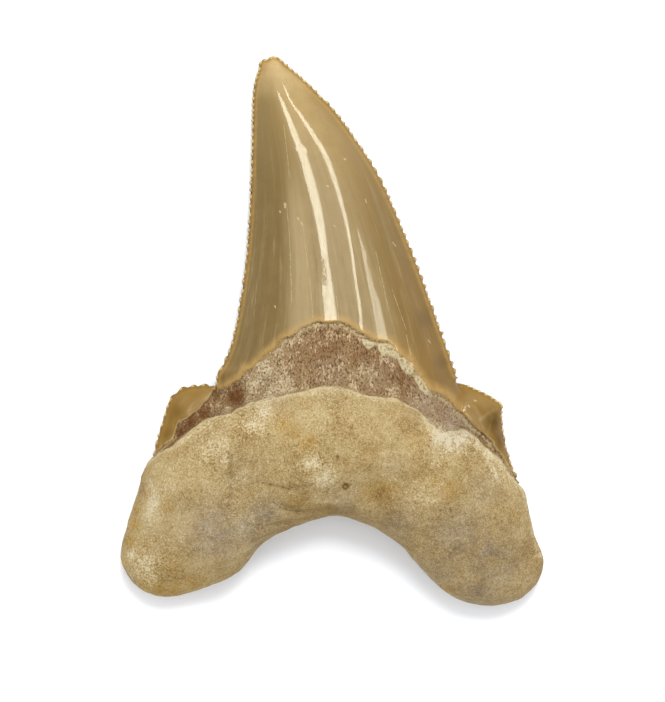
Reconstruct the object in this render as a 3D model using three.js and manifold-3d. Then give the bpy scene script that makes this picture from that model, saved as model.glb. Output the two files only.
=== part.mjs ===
// A fossil shark tooth with serrated edges and two side cusplets, in millimetres.
// It lies on its flatter (labial) face: +Z points out of the rounded (lingual) face,
// +Y points from the root to the tip of the crown, and +X to the right with the crown up.
// The origin is the middle of the outline, at the height of the surface the tooth rests on.
// Crown, cusplets and root are lofts, joined into the single piece that a tooth is.

import * as THREE from "three";
import { mergeVertices } from "three/addons/utils/BufferGeometryUtils.js";
import Module from "manifold-3d";

const wasm = await Module();
wasm.setup();

// Driving dimensions, for a tooth 76 mm long and 58 mm wide.
const SERRATIONS = 46; // on each cutting edge of the crown
const CUSPLET_SERRATIONS = 9; // on each side of a cusplet
const SERRATION_DEPTH = 0.3;
const SERRATION_FADE = 0.08; // share of an edge, next to its tip, where the serrations die out
const EDGE_THICKNESS = 0.25; // half the thickness of a cutting edge
const CROWN_BOW = 4.5; // how far the base of the crown bows towards the tip
const CROWN_BOW_SHARE = 0.3; // share of the crown's length over which that bow dies out
const FLAT_DEPTH = 0.25; // how much is worn off where the tooth touches the surface

// Heights above the surface: of the cutting edges, and of the lingual and labial faces of the root.
const TIP_HEIGHT = 0.7;
const BASE_HEIGHT = 4.2;
const CUSPLET_TIP_HEIGHT = 3;
const CUSPLET_BASE_HEIGHT = 3.4;
const ROOT_MIDDLE_HEIGHT = 6.8;
const ROOT_MIDDLE_TOP = 15.4;
const ROOT_MIDDLE_BOTTOM = 1.7;
const ROOT_END_HEIGHT = 1.9;
const ROOT_END_TOP = 3.6;
const ROOT_END_BOTTOM = -0.1;
const ROOT_ARCH_DROP = 1.8; // how much lower the middle of the arch's wall is than the outer side

// How far the two faces of a blade stand out from the plane of its edges.
const CROWN_RISE = 8.2;
const CROWN_SINK = 2.2;
const CUSPLET_RISE = 3.2;
const CUSPLET_SINK = 1.5;
const TIP_SINK = 0.25;

// Exponents of the curves that heights follow: a smaller one gives a fuller shape.
const LINGUAL_SECTION = 1.15;
const LABIAL_SECTION = 0.7;
const EDGE_SLOPE = 0.75;
const CROWN_TAPER = [1.7, 0.8];
const CUSPLET_TAPER = [1.5, 0.8];
const CROWN_SINK_TAPER = [2, 0.6];
const CUSPLET_SINK_TAPER = [2, 0.7];
const ROOT_TOP_SWELL = 0.85;
const ROOT_BOTTOM_SWELL = 2;
const ROOT_LINGUAL_SECTION = 0.75;
const ROOT_LABIAL_SECTION = 0.5;

const ROOT_END_SHARE = 0.06; // share of the root's length over which each end rounds off
const ROOT_LEAN = 0.12; // how much fuller the lingual face is beside the crown than at the arch

// Facets of each loft: round its section, and along it.
const CROWN_AROUND = 20;
const CUSPLET_AROUND = 16;
const ROOT_AROUND = 28;
const ROOT_ALONG = 66;
const ROOT_EASING = 0.6; // how much closer together the sections are at the root's ends
const ROOT_FIRST_SHARE = 0.004; // share of the root's length at which its first section lies
const MERGE_DISTANCE = 1e-4;

// Cutting edges of the crown, from inside the root to the tip.
const CROWN_TIP = [-8.2, 38.1];
const CROWN_LEFT = [
  [-18.6, -14.6], [-16.7, -8], [-15.2, -4.8], [-13.9, -1.8], [-12.7, 4], [-11.8, 11],
  [-11.3, 19], [-11.1, 27], [-10.9, 32.5], [-10.6, 35.6], [-10.1, 37.3], [-9.3, 37.95], CROWN_TIP,
];
const CROWN_RIGHT = [
  [19.6, -15.4], [17.7, -8], [15.6, -1.8], [13, 5.6], [9.9, 13.6], [6.1, 22],
  [0.5, 30.4], [-3.5, 34.75], [-5.3, 36.2], [-6.4, 37.3], [-7.2, 37.95], CROWN_TIP,
];

// Edges of the two cusplets: the one that runs down to the root, and the one that meets the crown.
const LEFT_CUSPLET_APEX = [-22.4, -9.3];
const LEFT_CUSPLET_OUTER = [
  [-25.7, -20], [-24.8, -17.6], [-24, -14.8], [-23.2, -12], LEFT_CUSPLET_APEX,
];
const LEFT_CUSPLET_INNER = [
  [-11.5, -10], [-15.6, -7.8], [-18.6, -7.65], [-21, -8.2], LEFT_CUSPLET_APEX,
];
const RIGHT_CUSPLET_APEX = [23.3, -10.3];
const RIGHT_CUSPLET_OUTER = [
  [26.1, -22.4], [25, -19], [24.2, -16], [23.7, -13], RIGHT_CUSPLET_APEX,
];
const RIGHT_CUSPLET_INNER = [
  [13, -9.6], [17.5, -7.5], [19.6, -8], [21.7, -9], RIGHT_CUSPLET_APEX,
];

// The root, from the end of its left lobe to the end of its right lobe: its outer side,
// which passes over the shoulder below the crown, and its arch.
const LEFT_LOBE_END = [-25.8, -36.3];
const RIGHT_LOBE_END = [26, -37.2];
const ROOT_OUTER = [
  LEFT_LOBE_END, [-28.5, -33.8], [-29.1, -30.8], [-28.1, -26.4], [-26.9, -21.8], [-24.4, -17],
  [-20.5, -12.8], [-14.5, -9.4], [-8, -6.9], [-1, -5.7], [5, -6.2], [11, -7.8],
  [15.5, -11.4], [21, -15.4], [25, -19.6], [27.1, -23.2], [27.8, -27], [29, -31.2],
  [28.8, -34.4], RIGHT_LOBE_END,
];
const ROOT_ARCH = [
  LEFT_LOBE_END, [-22.6, -37.05], [-18, -36.05], [-13.4, -33.8], [-9.8, -29.7], [-5.4, -27.35],
  [-2.8, -26.5], [-0.2, -25.75], [2, -25.95], [4.8, -27.05], [7.9, -28.65], [10.7, -31.25],
  [13.9, -34.8], [17.6, -37.05], [22.2, -38.05], RIGHT_LOBE_END,
];

// A closed mesh, merged at its seam and caps, as a solid that can be joined and cut.
function solidOf(geometry) {
  const bare = geometry.clone();
  bare.deleteAttribute("normal");
  bare.deleteAttribute("uv");
  const merged = mergeVertices(bare, MERGE_DISTANCE);
  const triVerts = new Uint32Array(merged.index.array);
  const vertProperties = new Float32Array(merged.attributes.position.array);
  const solid = new wasm.Manifold(new wasm.Mesh({ numProp: 3, vertProperties, triVerts }));
  if (solid.volume() > 0) {
    return solid;
  }
  for (let i = 0; i < triVerts.length; i += 3) {
    [triVerts[i + 1], triVerts[i + 2]] = [triVerts[i + 2], triVerts[i + 1]];
  }
  return new wasm.Manifold(new wasm.Mesh({ numProp: 3, vertProperties, triVerts }));
}

// Falls from 1 at the base to 0 at the tip.
function taper(share, [outer, inner]) {
  return (1 - share ** outer) ** inner;
}

// A smooth curve in the plane of the outline, measured by arc length.
function smoothCurve(points) {
  const curve = new THREE.CatmullRomCurve3(points.map(([x, y]) => new THREE.Vector3(x, y, 0)));
  curve.curveType = "centripetal";
  curve.arcLengthDivisions = 1000;
  return curve;
}

// Shapes a capped cylinder into a loft. surface(turn, share, target) gives the point at an angle
// round the section and a share of the length. A cap's centre is the middle of its ring.
function loft(around, along, surface) {
  const geometry = new THREE.CylinderGeometry(1, 1, 1, around, along);
  const position = geometry.getAttribute("position");
  const point = new THREE.Vector3();
  const opposite = new THREE.Vector3();
  for (let i = 0; i < position.count; i += 1) {
    const x = position.getX(i);
    const z = position.getZ(i);
    const share = position.getY(i) + 0.5;
    const turn = Math.atan2(x, z);
    surface(turn, share, point);
    if (Math.hypot(x, z) < 0.5) {
      surface(turn + Math.PI, share, opposite);
      point.add(opposite).multiplyScalar(0.5);
    }
    position.setXYZ(i, point.x, point.y, point.z);
  }
  return geometry;
}

// A blade is lens-shaped across, from its left edge to its right edge, and every second row of
// its edges stands out as a serration. height, rise, sink and bow are functions of the share of
// its length: how high its edges lie, how far its lingual and labial faces stand out from them,
// and how far its middle is ahead of its edges.
function blade({ left, right, around, serrations, height, rise, sink, bow }) {
  const leftCurve = smoothCurve(left);
  const rightCurve = smoothCurve(right);
  const a = new THREE.Vector3();
  const b = new THREE.Vector3();
  const tangent = new THREE.Vector3();
  const rows = 2 * serrations;
  const moveToSerration = (curve, share, side, target) => {
    curve.getTangentAt(share, tangent);
    const isCrest = Math.round(share * rows) % 2 === 1;
    const fade = THREE.MathUtils.smoothstep(1 - share, 0, SERRATION_FADE);
    const out = (isCrest ? 0.5 : -0.5) * SERRATION_DEPTH * fade * side;
    target.x += tangent.y * out;
    target.y -= tangent.x * out;
  };
  return loft(around, rows, (turn, share, target) => {
    const across = Math.sin(turn);
    const full = 1 - across * across;
    const isEdge = Math.abs(across) > 0.999;
    leftCurve.getPointAt(share, a);
    rightCurve.getPointAt(share, b);
    if (isEdge) {
      moveToSerration(leftCurve, share, -1, a);
      moveToSerration(rightCurve, share, 1, b);
    }
    target.lerpVectors(a, b, (across + 1) / 2);
    target.y += bow(share) * full;
    const thickness = EDGE_THICKNESS * Math.sqrt(full);
    target.z = Math.cos(turn) > 0
      ? height(share) + rise(share) * full ** LINGUAL_SECTION + thickness
      : height(share) - sink(share) * full ** LABIAL_SECTION - thickness;
  });
}

const crown = blade({
  left: CROWN_LEFT,
  right: CROWN_RIGHT,
  around: CROWN_AROUND,
  serrations: SERRATIONS,
  height: (share) => THREE.MathUtils.lerp(TIP_HEIGHT, BASE_HEIGHT, (1 - share) ** EDGE_SLOPE),
  rise: (share) => CROWN_RISE * taper(share, CROWN_TAPER),
  sink: (share) => THREE.MathUtils.lerp(TIP_SINK, CROWN_SINK, taper(share, CROWN_SINK_TAPER)),
  bow: (share) => CROWN_BOW * (1 - THREE.MathUtils.smoothstep(share, 0, CROWN_BOW_SHARE)),
});

const cusplet = (left, right) =>
  blade({
    left,
    right,
    around: CUSPLET_AROUND,
    serrations: CUSPLET_SERRATIONS,
    height: (share) => THREE.MathUtils.lerp(CUSPLET_BASE_HEIGHT, CUSPLET_TIP_HEIGHT, share),
    rise: (share) => CUSPLET_RISE * taper(share, CUSPLET_TAPER),
    sink: (share) => THREE.MathUtils.lerp(TIP_SINK, CUSPLET_SINK, taper(share, CUSPLET_SINK_TAPER)),
    bow: () => 0,
  });

// The root is a bent bar, thickest in the middle and rounded at both ends. Each section runs
// from the arch to the outer side, and its labial face is flatter than its lingual face.
function root() {
  const outer = smoothCurve(ROOT_OUTER);
  const arch = smoothCurve(ROOT_ARCH);
  const a = new THREE.Vector3();
  const b = new THREE.Vector3();
  return loft(ROOT_AROUND, ROOT_ALONG, (turn, along, target) => {
    const eased = (1 - Math.cos(Math.PI * along)) / 2;
    const even = THREE.MathUtils.lerp(along, eased, ROOT_EASING);
    const share = THREE.MathUtils.clamp(even, ROOT_FIRST_SHARE, 1 - ROOT_FIRST_SHARE);
    outer.getPointAt(share, a);
    arch.getPointAt(share, b);
    const across = Math.sin(turn);
    const up = Math.cos(turn);
    target.lerpVectors(b, a, (across + 1) / 2);
    const swell = Math.sin(Math.PI * share);
    const drop = ROOT_ARCH_DROP * swell * (1 - across) / 2;
    const middle = THREE.MathUtils.lerp(ROOT_END_HEIGHT, ROOT_MIDDLE_HEIGHT, swell) - drop;
    const top = THREE.MathUtils.lerp(ROOT_END_TOP, ROOT_MIDDLE_TOP, swell ** ROOT_TOP_SWELL);
    const bottom = THREE.MathUtils.lerp(ROOT_END_BOTTOM, ROOT_MIDDLE_BOTTOM, swell ** ROOT_BOTTOM_SWELL);
    const fromEnd = Math.min(1, Math.min(share, 1 - share) / ROOT_END_SHARE);
    const roundEnd = Math.sqrt(1 - (1 - fromEnd) ** 2);
    const lean = 1 + ROOT_LEAN * across * swell;
    target.z = up > 0
      ? middle + (top - middle) * roundEnd * lean * up ** ROOT_LINGUAL_SECTION
      : middle - (middle - bottom) * roundEnd * Math.abs(up) ** ROOT_LABIAL_SECTION;
  });
}

const tooth = solidOf(crown)
  .add(solidOf(cusplet(LEFT_CUSPLET_OUTER, LEFT_CUSPLET_INNER)))
  .add(solidOf(cusplet(RIGHT_CUSPLET_INNER, RIGHT_CUSPLET_OUTER)))
  .add(solidOf(root()));

// Wear where the tooth touches the surface leaves small flats, all in one plane.
const whole = tooth.boundingBox();
const [width, length, thickness] = whole.max.map((high, i) => high - whole.min[i]);
const block = new THREE.BoxGeometry(2 * width, 2 * length, thickness);
block.translate(0, 0, whole.min[2] + FLAT_DEPTH - thickness / 2);
const worn = tooth.subtract(solidOf(block));
const { min, max } = worn.boundingBox();
const made = worn.translate(-(min[0] + max[0]) / 2, -(min[1] + max[1]) / 2, -min[2]).getMesh();

const geometry = new THREE.BufferGeometry();
geometry.setAttribute("position", new THREE.BufferAttribute(Float32Array.from(made.vertProperties), 3));
geometry.setIndex(new THREE.BufferAttribute(Uint32Array.from(made.triVerts), 1));
geometry.computeVertexNormals();

const fossil = new THREE.MeshStandardMaterial({ color: 0xb79c6c, roughness: 0.6, metalness: 0 });
const mesh = new THREE.Mesh(geometry, fossil);
mesh.name = "tooth";

const group = new THREE.Group();
group.add(mesh);
export default group;
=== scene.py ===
# %% [markdown]
# # A fossil shark tooth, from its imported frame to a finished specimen
#
# The tooth lies on its flatter face, with the rounded face up, as a collector lays it out.
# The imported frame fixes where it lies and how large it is. This lesson models the fine
# surface that stands for the frame's plain solid, gives it the finishes of a fossil, and
# lights it on a pale floor. Lengths below are in millimetres, and `MM` turns them to metres.

import math

import bmesh
import bpy
import numpy as np
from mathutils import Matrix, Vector, noise


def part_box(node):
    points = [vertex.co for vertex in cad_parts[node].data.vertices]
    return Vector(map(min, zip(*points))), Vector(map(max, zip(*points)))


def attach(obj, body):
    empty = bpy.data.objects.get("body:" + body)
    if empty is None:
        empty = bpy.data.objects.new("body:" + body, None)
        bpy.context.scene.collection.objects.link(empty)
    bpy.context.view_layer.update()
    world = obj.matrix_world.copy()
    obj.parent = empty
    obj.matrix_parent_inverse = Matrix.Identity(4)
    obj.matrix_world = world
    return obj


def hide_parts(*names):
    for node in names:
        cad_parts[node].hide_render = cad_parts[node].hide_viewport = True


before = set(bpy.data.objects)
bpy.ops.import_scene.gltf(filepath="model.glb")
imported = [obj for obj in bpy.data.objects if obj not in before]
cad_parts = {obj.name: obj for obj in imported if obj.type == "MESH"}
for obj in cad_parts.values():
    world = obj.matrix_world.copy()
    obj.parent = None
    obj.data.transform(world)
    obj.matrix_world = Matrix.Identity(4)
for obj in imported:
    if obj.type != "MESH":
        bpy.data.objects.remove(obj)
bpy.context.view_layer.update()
low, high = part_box("tooth")
LENGTH = 76.15  # from the crown's tip to the root lobes
MM = (high.y - low.y) / LENGTH
print("one millimetre is", round(MM, 6), "metres; the tooth spans", [round(s / MM, 1) for s in high - low])

# %% [markdown]
# ## Curves for outlines
#
# A tooth has no straight edge, so each outline is a smooth curve through a few points.
# A centripetal Catmull-Rom curve passes through its points without loops or overshoot,
# which a Bezier curve would only do with hand-set handles.


# %% Smooth paths
def smooth_path(points, steps=40):
    """Samples a centripetal Catmull-Rom curve through the points."""
    p = np.array(points, float)
    p = np.vstack([2 * p[0] - p[1], p, 2 * p[-1] - p[-2]])
    spans = []
    for a, b, c, d in zip(p, p[1:], p[2:], p[3:]):
        k = np.cumsum([0] + [math.sqrt(np.linalg.norm(q - r)) for q, r in ((b, a), (c, b), (d, c))])
        t = np.linspace(k[1], k[2], steps, endpoint=False)[:, None]

        def mix(q, r, i, j):
            """Goes from q to r as t goes from knot i to knot j."""
            return ((k[j] - t) * q + (t - k[i]) * r) / (k[j] - k[i])

        ab, bc, cd = mix(a, b, 0, 1), mix(b, c, 1, 2), mix(c, d, 2, 3)
        spans.append(mix(mix(ab, bc, 0, 2), mix(bc, cd, 1, 3), 1, 2))
    return np.vstack(spans + [p[-2:-1]])


def at_share(path, share):
    """Points at shares of a path's length, from 0 to 1."""
    steps = np.linalg.norm(np.diff(path, axis=0), axis=1)
    run = np.concatenate([[0], np.cumsum(steps)]) / steps.sum()
    return np.column_stack([np.interp(share, run, path[:, axis]) for axis in (0, 1)])


def length(path):
    """How long a path is."""
    return float(np.linalg.norm(np.diff(path, axis=0), axis=1).sum())


def smoothstep(value, start, end):
    """Goes smoothly from 0 at start to 1 at end."""
    share = np.clip((value - start) / (end - start), 0, 1)
    return share * share * (3 - 2 * share)


print("a bend through 3 points is", round(length(smooth_path([[0, 0], [1, 1], [2, 0]])), 2), "mm long")

# %% [markdown]
# ## The outline of the tooth
#
# The crown leans to the left. Its two cutting edges run from inside the root to the blunt
# tip. A small cusplet stands on each shoulder, and the root is a bent bar between its
# outer side and its arch, with a lobe at each end.

# %% Outlines
# x runs to the right and y to the crown's tip, in millimetres from the middle of the tooth
CROWN_TIP = [-8.2, 38.1]
CROWN_LEFT = smooth_path([
    [-18.4, -14.6], [-16.4, -9], [-16.05, -7.6], [-15.85, -5.9], [-15.1, -4.8], [-13.9, -1.8], [-12.7, 4],
    [-11.8, 11], [-11.3, 19], [-11.1, 27], [-10.95, 32.5], [-10.65, 34.8], [-10.2, 36.2], [-10.1, 37],
    [-9.7, 37.5], [-9.05, 37.6], [-8.6, 37.9], CROWN_TIP,
])
CROWN_RIGHT = smooth_path([
    [19.6, -15.4], [17.7, -8], [15.6, -1.8], [13, 5.6], [9.9, 13.6], [6.1, 22], [0.35, 30.4],
    [-1.6, 32.45], [-3.6, 34.5], [-5.4, 36.05], [-6.5, 36.95], [-7.2, 37.7], CROWN_TIP,
])
LEFT_APEX = [-22.65, -10.1]
LEFT_CUSPLET_OUTER = smooth_path([
    [-23.5, -25], [-25.7, -20], [-24.8, -17.6], [-24.05, -14.8], [-23.3, -12.2], LEFT_APEX,
])
LEFT_CUSPLET_INNER = smooth_path([
    [-9, -15], [-11.5, -10], [-15.6, -7.8], [-18.6, -7.65], [-20.5, -8], [-21.8, -8.9], LEFT_APEX,
])
RIGHT_APEX = [23.45, -10.1]
RIGHT_CUSPLET_OUTER = smooth_path([
    [24.5, -27.5], [26.1, -22.4], [24.9, -19], [24, -16], [23.5, -13], RIGHT_APEX,
])
RIGHT_CUSPLET_INNER = smooth_path([
    [10.5, -14], [13, -9.3], [16.8, -7], [19, -7.75], [21.7, -9], RIGHT_APEX,
])
LEFT_LOBE_END = [-25.8, -36.1]
RIGHT_LOBE_END = [26, -37.2]
ROOT_OUTER = smooth_path([
    LEFT_LOBE_END, [-27.8, -34.3], [-29.15, -31.5], [-28.85, -28.8], [-28, -26], [-27, -22.9],
    [-24.7, -17.6], [-20.5, -14.1], [-14.5, -10.7], [-8, -8.1], [-1, -6.6], [5, -7.4], [10.5, -8.8],
    [13.5, -10.3], [16, -11.8], [18.5, -13.6], [21.4, -16], [24.8, -19.7], [26.6, -23.2], [27.2, -26],
    [28, -28.8], [29.15, -31.5], [28.3, -34.7], RIGHT_LOBE_END,
])
ROOT_ARCH = smooth_path([
    LEFT_LOBE_END, [-22.6, -36.75], [-18, -35.7], [-13.4, -33.6], [-10, -29.8], [-7.2, -27.9],
    [-4.4, -26.6], [-1.7, -25.65], [1.1, -25.45], [3.9, -26.45], [6.6, -27.6], [9.4, -29.5],
    [12.2, -32.7], [15, -35.35], [17.8, -37.1], [22.2, -38.05], RIGHT_LOBE_END,
])
print("cutting edges:", [round(length(path), 1) for path in (CROWN_LEFT, CROWN_RIGHT)], "mm")

# %% [markdown]
# ## A skin over a loft
#
# Crown, cusplets and root are all lofts: a closed section that changes along a path. They
# could be bridged ring by ring, but a UV sphere already has the rings, and its two poles
# close the ends. So each loft is a sphere whose vertices are moved to their places. Most
# of its columns go to the rounded face, which shows more detail than the flat one.

# %% Loft
ROUND_FACE_COLUMNS = 0.7  # share of the columns that the rounded face gets


def loft(name, columns, rows, place):
    """Moves a sphere's vertices to place(turn, row), which gives millimetres.

    turn goes round a section, 0 in the middle of the rounded face. Row 0 and the last row are the poles.
    """
    bm = bmesh.new()
    bmesh.ops.create_uvsphere(bm, u_segments=columns, v_segments=rows, radius=1)
    sphere = np.array([v.co for v in bm.verts])
    row = np.rint(np.arccos(np.clip(-sphere[:, 2], -1, 1)) / math.pi * rows).astype(int)
    round_turn = np.arctan2(sphere[:, 0], sphere[:, 1]) / math.pi
    share = np.abs(round_turn)
    front = share / ROUND_FACE_COLUMNS * 0.5
    back = 0.5 + (share - ROUND_FACE_COLUMNS) / (1 - ROUND_FACE_COLUMNS) * 0.5
    turn = np.sign(round_turn) * np.where(share <= ROUND_FACE_COLUMNS, front, back) * math.pi
    for vert, spot in zip(bm.verts, place(turn, row)):
        vert.co = spot
    if bm.calc_volume(signed=True) < 0:
        bmesh.ops.reverse_faces(bm, faces=bm.faces)
    mesh = bpy.data.meshes.new(name)
    bm.to_mesh(mesh)
    bm.free()
    piece = bpy.data.objects.new(name, mesh)
    bpy.context.scene.collection.objects.link(piece)
    print(name, "has", len(mesh.polygons), "faces")
    return piece


# %% [markdown]
# ## Serrations
#
# The cutting edges are rows of small beads, about one to a millimetre and finer towards
# the tip. No two are alike, so each bead gets its own width and depth from a seeded
# random generator. Every bead has the same number of rows, so it keeps its round form.

# %% Serrated edges
ROWS_PER_BEAD = 6
CREST_ROW = 4  # the row of each bead that stands out furthest
WIDTH_RANGE = (0.65, 1.35)  # of a bead, as a share of the usual width
DEPTH_RANGE = (0.4, 1.3)
rng = np.random.default_rng(11)
bead_places = []  # where the beads' crests are, one array for each edge


def serrated(path, beads, outward, bead_depth, tip_width, tip_depth):
    """The rows of a beaded edge: its plain points, its beaded points, and how far each is up its bead.

    tip_width and tip_depth say how large the last bead is beside the first.
    """
    along = (np.arange(beads) + 0.5) / beads
    width = (1 + (tip_width - 1) * along ** 1.5) * rng.uniform(*WIDTH_RANGE, beads)
    depth = bead_depth * (1 + (tip_depth - 1) * along ** 2) * rng.uniform(*DEPTH_RANGE, beads)
    joints = np.concatenate([[0], np.cumsum(width)]) / width.sum()
    phase = np.arange(beads * ROWS_PER_BEAD + 1) / ROWS_PER_BEAD
    share = np.interp(phase, np.arange(beads + 1), joints)
    skew = 1 + 1.3 * (1 - phase / beads)  # low on the tooth a bead leans to the tip
    bead = np.abs(np.sin(np.pi * (phase % 1) ** skew)) ** 0.6
    points = at_share(path, share)
    tangent = at_share(path, np.minimum(share + 0.002, 1)) - at_share(path, np.maximum(share - 0.002, 0))
    tangent /= np.linalg.norm(tangent, axis=1)[:, None]
    normal = outward * np.column_stack([tangent[:, 1], -tangent[:, 0]])
    stand = (bead - 0.6) * depth[np.minimum(phase.astype(int), beads - 1)] * smoothstep(1 - share, 0, 0.02)
    beaded = points + normal * stand[:, None]
    bead_places.append(beaded[np.arange(beads) * ROWS_PER_BEAD + CREST_ROW])
    return points, beaded, bead


print("a bead has", ROWS_PER_BEAD, "rows and", WIDTH_RANGE[0], "to", WIDTH_RANGE[1], "times the usual width")

# %% [markdown]
# ## Crown
#
# A tooth of this kind is a blade with a strongly rounded lingual face and a nearly flat
# labial face. Two blunt ridges run up the rounded face, and light lies on them as long
# bright lines. So the face is built from arcs with known slopes where they meet: a steep
# flank from each cutting edge, and gentle arcs across the ridges.

# %% Crown heights
BASE_Y = -15.0
TIP_Y = CROWN_TIP[1]
EDGE_HALF = 0.25  # half the thickness at a cutting edge
EDGE_AT_TIP = 0.7  # height of the cutting edges above the floor at the tip
EDGE_FALL = 3.5  # how much higher they are at the base
FACE_RISE = 8.2  # of the rounded face above the cutting edges, at the base
FACE_SINK = (0.25, 1.95)  # of the flat face below them, at the tip and more at the base
RIDGE_LEFT = smooth_path([
    [0, -15], [-0.15, 1.4], [-0.6, 5.5], [-1.0, 9.7], [-1.95, 15.9], [-3.25, 20.8], [-4.05, 23.5],
    [-4.8, 25.4], [-5.95, 28.4], [-7.5, 32.7], [-8.6, 38.1],
])
RIDGE_RIGHT = smooth_path([
    [4.7, -15], [3.9, 2.8], [3.4, 6.2], [2.5, 12.5], [1.8, 15.9], [0.4, 20.8], [-0.85, 24.2],
    [-2.1, 26.3], [-4.4, 29.8], [-5.8, 31.8], [-8, 38.1],
])
# heights on the crown, and half the width of each ridge there
HALF_LEFT = ([1.4, 5.5, 9.7, 15.9, 20.8, 25.6, 28.4, 32.5], [0.9, 0.8, 0.42, 0.6, 0.68, 0.45, 0.36, 0.12])
HALF_RIGHT = ([2.8, 6.2, 12.5, 15.9, 20.8, 23.5, 26.3, 29.8, 31.7],
              [0.02, 0.03, 0.05, 0.2, 0.33, 0.38, 0.44, 0.3, 0.16])
LEFT_SLOPES = (0.12, 0.05)  # on both sides of the left ridge
RIGHT_SLOPES = (-0.07, -0.12)


def edge_height(v):
    """Height of the cutting edges above the floor, for a share v of the crown's height."""
    return EDGE_AT_TIP + EDGE_FALL * (1 - v) ** 0.75


def x_on(path, y):
    """Where a path that runs up the crown is at height y."""
    return np.interp(y, path[:, 1], path[:, 0])


def across_crown(x, y):
    """Where a point is between the cutting edges: -1 on the left one and 1 on the right one."""
    left, right = x_on(CROWN_LEFT, y), x_on(CROWN_RIGHT, y)
    return (x - left) / np.maximum(right - left, 0.2) * 2 - 1


def flank(x, edge, ridge, height, slope):
    """Rises from 0 at the cutting edge to height at the ridge, where it has the slope."""
    run = np.maximum(np.abs(ridge - edge), 0.05)
    t = np.clip(np.abs(x - edge) / run, 0, 1)
    even = np.clip(run * slope / np.maximum(height, 0.02), 0, 0.7)
    return height * (even * t + (1 - even) * (1 - (1 - t) ** 1.9))


def arc(x, start, end, slopes):
    """Rise from start to x of an arc whose slope goes evenly from slopes[0] to slopes[1] at end."""
    run = np.maximum(end - start, 0.02)
    t = np.clip((x - start) / run, 0, 1)
    return run * (slopes[0] * t + (slopes[1] - slopes[0]) * t * t / 2)


def rounded_face(x, y, height):
    """Height of the rounded face above the cutting edges."""
    left, right = x_on(CROWN_LEFT, y), x_on(CROWN_RIGHT, y)
    wide = np.maximum(right - left, 0.3)
    half_left = np.interp(y, *HALF_LEFT)
    half_right = np.interp(y, *HALF_RIGHT)
    starts = [x_on(RIDGE_LEFT, y) - half_left, x_on(RIDGE_LEFT, y) + half_left,
              x_on(RIDGE_RIGHT, y) - half_right, x_on(RIDGE_RIGHT, y) + half_right]
    starts = [np.clip(s, left + 0.2 * wide, right - 0.2 * wide) for s in starts]
    middle = (LEFT_SLOPES[1], RIGHT_SLOPES[0])
    spans = list(zip(starts, starts[1:], (LEFT_SLOPES, middle, RIGHT_SLOPES)))
    crossing = height + sum(arc(x, start, end, slopes) for start, end, slopes in spans)
    right_height = height + sum(arc(end, start, end, slopes) for start, end, slopes in spans)
    on_left = flank(x, left, starts[0], height, LEFT_SLOPES[0])
    on_right = flank(x, right, starts[3], right_height, -RIGHT_SLOPES[1])
    return np.where(x < starts[0], on_left, np.where(x > starts[3], on_right, crossing))


def crown_face(x, y, share, v, lingual):
    """Height of the crown's rounded or flat face."""
    up = np.clip((y - BASE_Y) / (TIP_Y - BASE_Y), 0, 1)
    a = np.clip(across_crown(x, y), -1, 1)
    full = 1 - a * a
    rim = EDGE_HALF * np.sqrt(full)
    sink = FACE_SINK[0] + FACE_SINK[1] * (1 - up * up) ** 0.6
    top = edge_height(up) + rounded_face(x, y, FACE_RISE * (1 - up ** 1.7) ** 0.8) + rim
    bottom = edge_height(up) - sink * full ** 0.7 - rim
    return np.where(lingual, top, bottom)


heights = crown_face(np.zeros(2), np.array([2.0, 25]), 0, 0, True)
print("the rounded face is", heights.round(1), "mm high above the band and near the tip")

# %% [markdown]
# ## Blades
#
# Crown and cusplets are blades of the same kind, so one function shapes them: rows of
# points between two beaded edges. Beads stand out as small domes that fade about a
# millimetre into each face. The crown's foot bows up in the middle, out of the root.

# %% Blades
LEFT_SHARE = 0.6  # how deep the left edge's beads are beside the right edge's
DOME_RISE = 0.2
DOME_REACH = 0.6  # how far a bead's dome runs into the face


def blade(name, columns, left, right, beads, bead_depth, face, bow=0.0, tip=(0.62, 0.75)):
    """A serrated blade between two paths, whose foot bows up by bow in the middle.

    face(x, y, share, v, lingual) gives the height of a face, share from -1 to 1 across and v from 0 to 1 up.
    """
    smooth_left, beaded_left, bead_left = serrated(left, beads, -1, bead_depth * LEFT_SHARE, *tip)
    smooth_right, beaded_right, bead_right = serrated(right, beads, 1, bead_depth, *tip)
    last = beads * ROWS_PER_BEAD

    def place(turn, row):
        """Places of the blade's skin, row by row from the foot to the tip."""
        at = np.clip(row - 1, 0, last)
        share = np.sin(turn) * 0.55 + np.arcsin(np.clip(np.sin(turn), -1, 1)) / (math.pi / 2) * 0.45
        lingual = np.abs(turn) <= math.pi / 2
        is_edge = np.abs(share) > 0.999
        left_at = np.where(is_edge[:, None], beaded_left[at], smooth_left[at])
        right_at = np.where(is_edge[:, None], beaded_right[at], smooth_right[at])
        spot = left_at + (right_at - left_at) * ((share + 1) / 2)[:, None]
        spot[:, 1] += bow * (1 - share ** 2) * (1 - smoothstep(at / last, 0, 0.3))
        z = face(spot[:, 0], spot[:, 1], share, at / last, lingual)
        width = np.linalg.norm(right_at - left_at, axis=1)
        for side, bead in ((-1, bead_left), (1, bead_right)):
            inward = (1 - side * share) * width / 2
            lift = DOME_RISE * (bead[at] - 0.65) * np.exp(-((inward / DOME_REACH) ** 2)) * (~is_edge)
            z = z + np.where(lingual, lift, -lift) * smoothstep(width, 0.5, 4)
        is_base = row == 0
        spot[is_base] = (left_at[is_base] + right_at[is_base]) / 2 + [0, bow]
        return np.column_stack([spot, z])

    return loft(name, columns, last + 1, place)


CROWN_COLUMNS = 160
CROWN_BEADS = 52
crown = blade("crown", CROWN_COLUMNS, CROWN_LEFT, CROWN_RIGHT, CROWN_BEADS, 0.62, crown_face, bow=4.5)

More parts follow.
